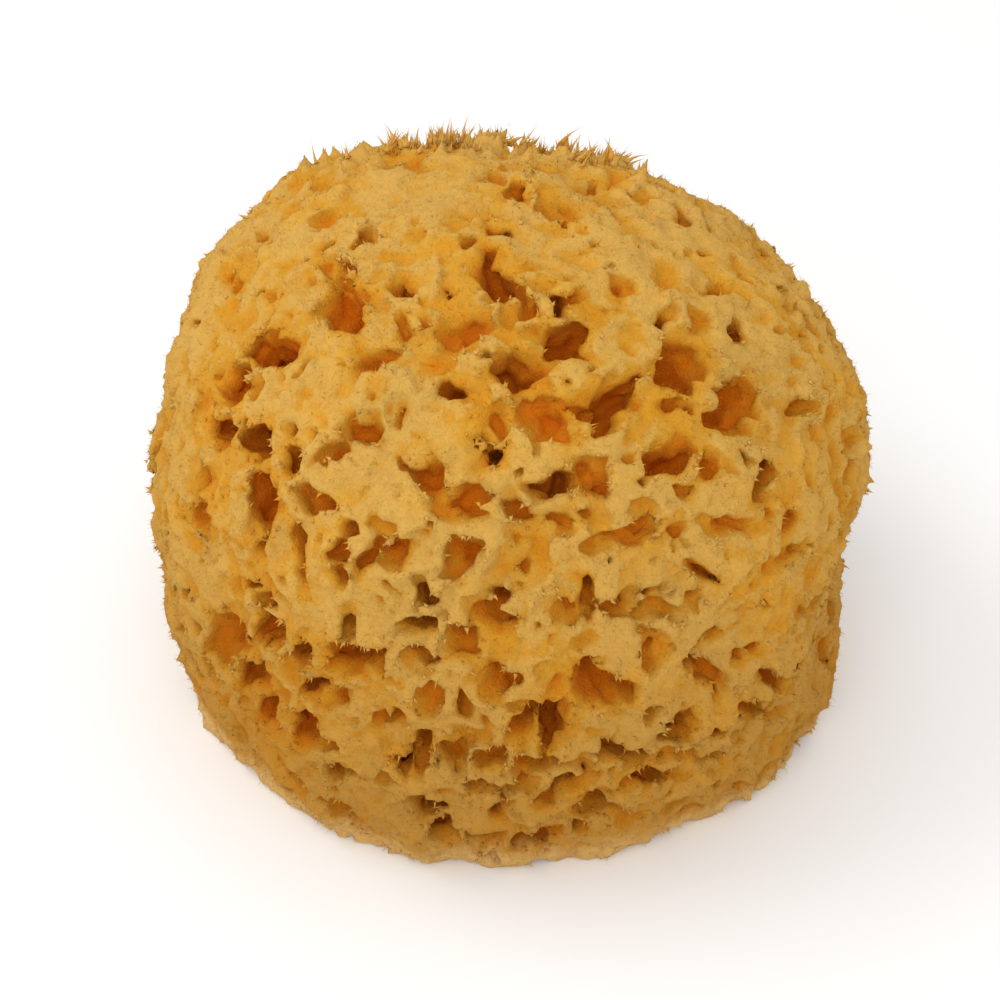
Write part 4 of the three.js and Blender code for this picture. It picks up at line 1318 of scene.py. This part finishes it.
@dataclass
class FibreCoat:
    """Many fibres of one kind, joined in one mesh."""

    name: str
    zone: Zone
    count: int
    seed: int
    lengths: tuple[float, float] = (0.6, 1.7)
    radii: tuple[float, float] = (0.04, 0.07)
    strand: Strand = Strand(3, 1)
    crest: float = 0.9
    upright: float = 0.4
    lift: float = 0.3
    scatter: float = 0.8
    curl: float = 0.5
    waist: float = 0.2
    flatness: float = 1.0
    lean: float = 0.0
    pale: float = 0.5
    ceiling: float = 111.2
    skin_depth: float = 7.0
    rim_depth: float = 2.5
    rim_pore_shades: tuple[float, float] = (0.15, 0.7)
    crown_depth: float = 1.5
    crown_from: float = 0.65
    crown_middle: float = -0.08
    crown_width: tuple[float, float] = (1.7, 2.6)
    clumps: int = 0
    clump_radius: float = 1.1
    clump_lean: float = 0.35
    strewing: float = 0.35
    lowest: float = 1.2

    def _weights(self, body: SpongeBody, points: np.ndarray) -> np.ndarray:
        """Gives how likely a fibre is at each point of the body."""
        below = body.form.below(points)
        crowd = body.porous.sample(body.crowd, points)
        stain = body.porous.sample(body.porous.stain, points)
        weight = (points[:, 2] > self.lowest) * np.clip(self.crest - crowd, 0.0, 1.0)
        if self.zone is Zone.SKIN:
            return weight * (below < self.skin_depth)
        if self.zone is Zone.RIMS:
            pale, dark = self.rim_pore_shades
            return weight * (np.abs(below) < self.rim_depth) * (stain > pale) * (stain < dark)
        way = unit(points - body.form.view.heart)
        high = np.clip(way @ body.form.view.up - self.crown_from, 0.0, 0.2)
        facing = way @ body.form.view.back
        full, fall = self.crown_width
        aside = np.abs(way @ body.form.view.right - self.crown_middle)
        middle = np.clip(full - fall * aside, 0.0, 1.0)
        high *= np.clip(0.6 - facing, 0.0, 1.0) * np.clip(1.0 + facing, 0.2, 1.0)
        return weight * (np.abs(below) < self.crown_depth) * high * middle

    def _gather(self, points: np.ndarray, weight: np.ndarray) -> tuple[np.ndarray, np.ndarray]:
        """Gathers the fibres in tufts round a few centres.

        Args:
            points: the points of the body.
            weight: how likely a fibre is at each of them.

        Returns:
            The new weights, and which way the tuft at each point leans.
        """
        rng = np.random.default_rng(self.clumps)
        centres = points[rng.choice(len(points), self.clumps, p=weight / weight.sum())]
        leans = rng.normal(size=(self.clumps, 3)) * self.clump_lean
        near, which = np.full(len(points), np.inf), np.zeros(len(points), int)
        for number, centre in enumerate(centres):
            apart = ((points - centre) ** 2).sum(axis=1)
            which = np.where(apart < near, number, which)
            near = np.minimum(near, apart)
        return weight * np.exp(-near / (2 * self.clump_radius ** 2)), leans[which]

    def _roots(self, body: SpongeBody, rng: np.random.Generator) -> tuple[np.ndarray, np.ndarray, np.ndarray]:
        """Picks where the fibres stand, the body's normals there and which way they lean."""
        points, normals = points_of(body.piece), normals_of(body.piece)
        weight = self._weights(body, points) * areas_of(body.piece)
        leans = np.zeros_like(points)
        if self.clumps:
            weight, leans = self._gather(points, weight)
        chosen = rng.choice(len(points), self.count, p=weight / weight.sum())
        shift = rng.normal(size=(self.count, 3)) * self.strewing
        shift -= normals[chosen] * (shift * normals[chosen]).sum(axis=1, keepdims=True)
        return points[chosen] + shift - 0.15 * normals[chosen], normals[chosen], leans[chosen]

    def build(self, body: SpongeBody, finish: bpy.types.Material) -> bpy.types.Object:
        """Makes the fibres.

        Args:
            body: what they stand on.
            finish: their material.

        Returns:
            The piece.
        """
        rng = np.random.default_rng(self.seed)
        roots, normals, leans = self._roots(body, rng)
        outward = unit(roots - body.form.view.heart)
        aim = self.upright * normals + self.lift * outward + self.lean * body.form.view.right + leans
        along = unit(aim + self.scatter * rng.normal(size=roots.shape))
        side = unit(np.cross(along, rng.normal(size=roots.shape)))
        other = np.cross(along, side)
        length = rng.uniform(*self.lengths, self.count) * rng.uniform(0.6, 1.0, self.count)
        radius = rng.uniform(*self.radii, self.count)
        curl = self.curl * rng.uniform(0.2, 1.0, self.count)
        shape, faces = self.strand.model()
        z = shape[:, 2]
        shape[:, :2] *= np.maximum(1 - z, 0)[:, None] ** self.waist
        shape[:, 1] *= self.flatness
        points = roots[:, None, :] + along[:, None, :] * (length[:, None] * z)[..., None]
        sideways = radius[:, None] * shape[:, 0] + (curl * length)[:, None] * z ** 2
        points += side[:, None, :] * sideways[..., None]
        points += other[:, None, :] * (radius[:, None] * shape[:, 1])[..., None]
        numbers = faces[None] + (np.arange(self.count) * len(shape))[:, None, None]
        points = points.reshape(-1, 3)
        points[:, 2] = np.clip(points[:, 2], 0.05, self.ceiling)
        piece = mesh_object(self.name, points, numbers.reshape(-1, 3))
        tone = np.repeat(self.pale + rng.uniform(-0.1, 0.3, self.count), len(shape))
        ground = np.repeat(roots, len(shape), axis=0)
        body.mark(piece, ground + 0.3 * (points - ground), tone)
        piece.data.materials.append(finish)
        log.info("%s: %d triangles", self.name, triangles_of(piece))
        return piece


@dataclass
class Studio:
    """The plain pale floor, the soft light and the camera."""

    view: PictureView
    floor_size: float = 6.0
    floor_colour: tuple[float, ...] = (0.93, 0.93, 0.92, 1)
    key_place: tuple[float, float, float] = (-0.6, 0.1, 0.76)
    key_size: float = 0.55
    key_power: float = 2.3
    fill_place: tuple[float, float, float] = (-0.1, -0.76, 0.74)
    fill_size: float = 0.7
    fill_power: float = 3.2
    sky: float = 0.86
    lens: float = 80
    film_width: float = 36

    def build(self) -> None:
        """Sets everything up."""
        self._floor()
        self._lights()
        self._camera()

    def _floor(self) -> None:
        """Lays the floor."""
        bpy.ops.object.select_all(action="DESELECT")
        bpy.ops.mesh.primitive_plane_add(size=self.floor_size, location=(0, 0, -0.0002))
        floor = bpy.context.object
        floor.name = "floor"
        material = bpy.data.materials.new("floor")
        material.use_nodes = True
        shader = material.node_tree.nodes["Principled BSDF"]
        shader.inputs["Base Color"].default_value = self.floor_colour
        shader.inputs["Roughness"].default_value = 0.8
        floor.data.materials.append(material)

    def _light(self, name: str, place: tuple[float, float, float], size: float, power: float) -> None:
        """Hangs one soft square light that faces the sponge."""
        lamp = bpy.data.lights.new(name, "AREA")
        lamp.size = size
        lamp.energy = power
        holder = bpy.data.objects.new(name, lamp)
        holder.location = place
        aim = Vector((0, 0, 0.05)) - Vector(place)
        holder.rotation_euler = aim.to_track_quat("-Z", "Y").to_euler()
        bpy.context.collection.objects.link(holder)

    def _lights(self) -> None:
        """Hangs the lights and sets the sky."""
        self._light("key", self.key_place, self.key_size, self.key_power)
        self._light("fill", self.fill_place, self.fill_size, self.fill_power)
        scene = bpy.context.scene
        scene.world = scene.world or bpy.data.worlds.new("sky")
        scene.world.use_nodes = True
        background = scene.world.node_tree.nodes["Background"]
        background.inputs["Color"].default_value = (1, 1, 1, 1)
        background.inputs["Strength"].default_value = self.sky
        scene.view_settings.view_transform = "Standard"

    def _camera(self) -> None:
        """Places the camera at the photograph's viewing angle."""
        camera = bpy.data.cameras.new("camera")
        camera.lens = self.lens
        camera.sensor_width = self.film_width
        holder = bpy.data.objects.new("camera", camera)
        holder.location = self.view.eye * MM
        holder.rotation_euler = (math.radians(90 - self.view.elevation), 0, 0)
        bpy.context.collection.objects.link(holder)
        bpy.context.scene.camera = holder


def dress(piece: bpy.types.Object) -> None:
    """Hangs a piece on the body that it rides on and hides the imported solid."""
    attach(piece, BODY)
    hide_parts(NODE)


def main() -> None:
    """Builds the sponge and the studio."""
    logging.basicConfig(level=logging.INFO, format="%(message)s")
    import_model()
    view = PictureView()
    form = SpongeForm(view)
    finish = FibreFinish().build()
    Studio(view).build()
    body = SpongeBody(form, PoreMap(form))
    dress(body.build(finish))
    tooth = Strand(5, 4)
    coats = [
        FibreCoat(
            "rim_teeth", Zone.RIMS, 2200, 31, lengths=(0.8, 2.2), radii=(0.3, 0.6), strand=tooth, crest=0.5,
            upright=1.0, lift=0.6, scatter=0.25, curl=0.3, waist=0.5, flatness=0.6, pale=1.0,
        ),
        FibreCoat(
            "crown_teeth", Zone.CROWN, 620, 35, lengths=(2.5, 6.5), radii=(0.5, 1.0), strand=tooth, crest=0.5,
            lift=1.2, scatter=0.2, curl=0.7, waist=0.6, flatness=0.6, lean=0.4, pale=1.0, clumps=150,
        ),
        FibreCoat(
            "crown_wisps", Zone.CROWN, 1300, 36, lengths=(1.2, 4.5), radii=(0.1, 0.2), crest=0.5,
            lift=1.2, scatter=0.35, curl=0.6, waist=0.3, lean=0.3, pale=1.0, clumps=150,
        ),
        FibreCoat("felt_one", Zone.SKIN, 15000, 32),
        FibreCoat("felt_two", Zone.SKIN, 15000, 33),
        FibreCoat(
            "felt_three", Zone.SKIN, 15000, 34, lengths=(0.6, 1.9), crest=0.6,
            upright=0.6, lift=0.8, scatter=0.4,
        ),
    ]
    for coat in coats:
        dress(coat.build(body, finish))


if __name__ == "__main__":
    main()
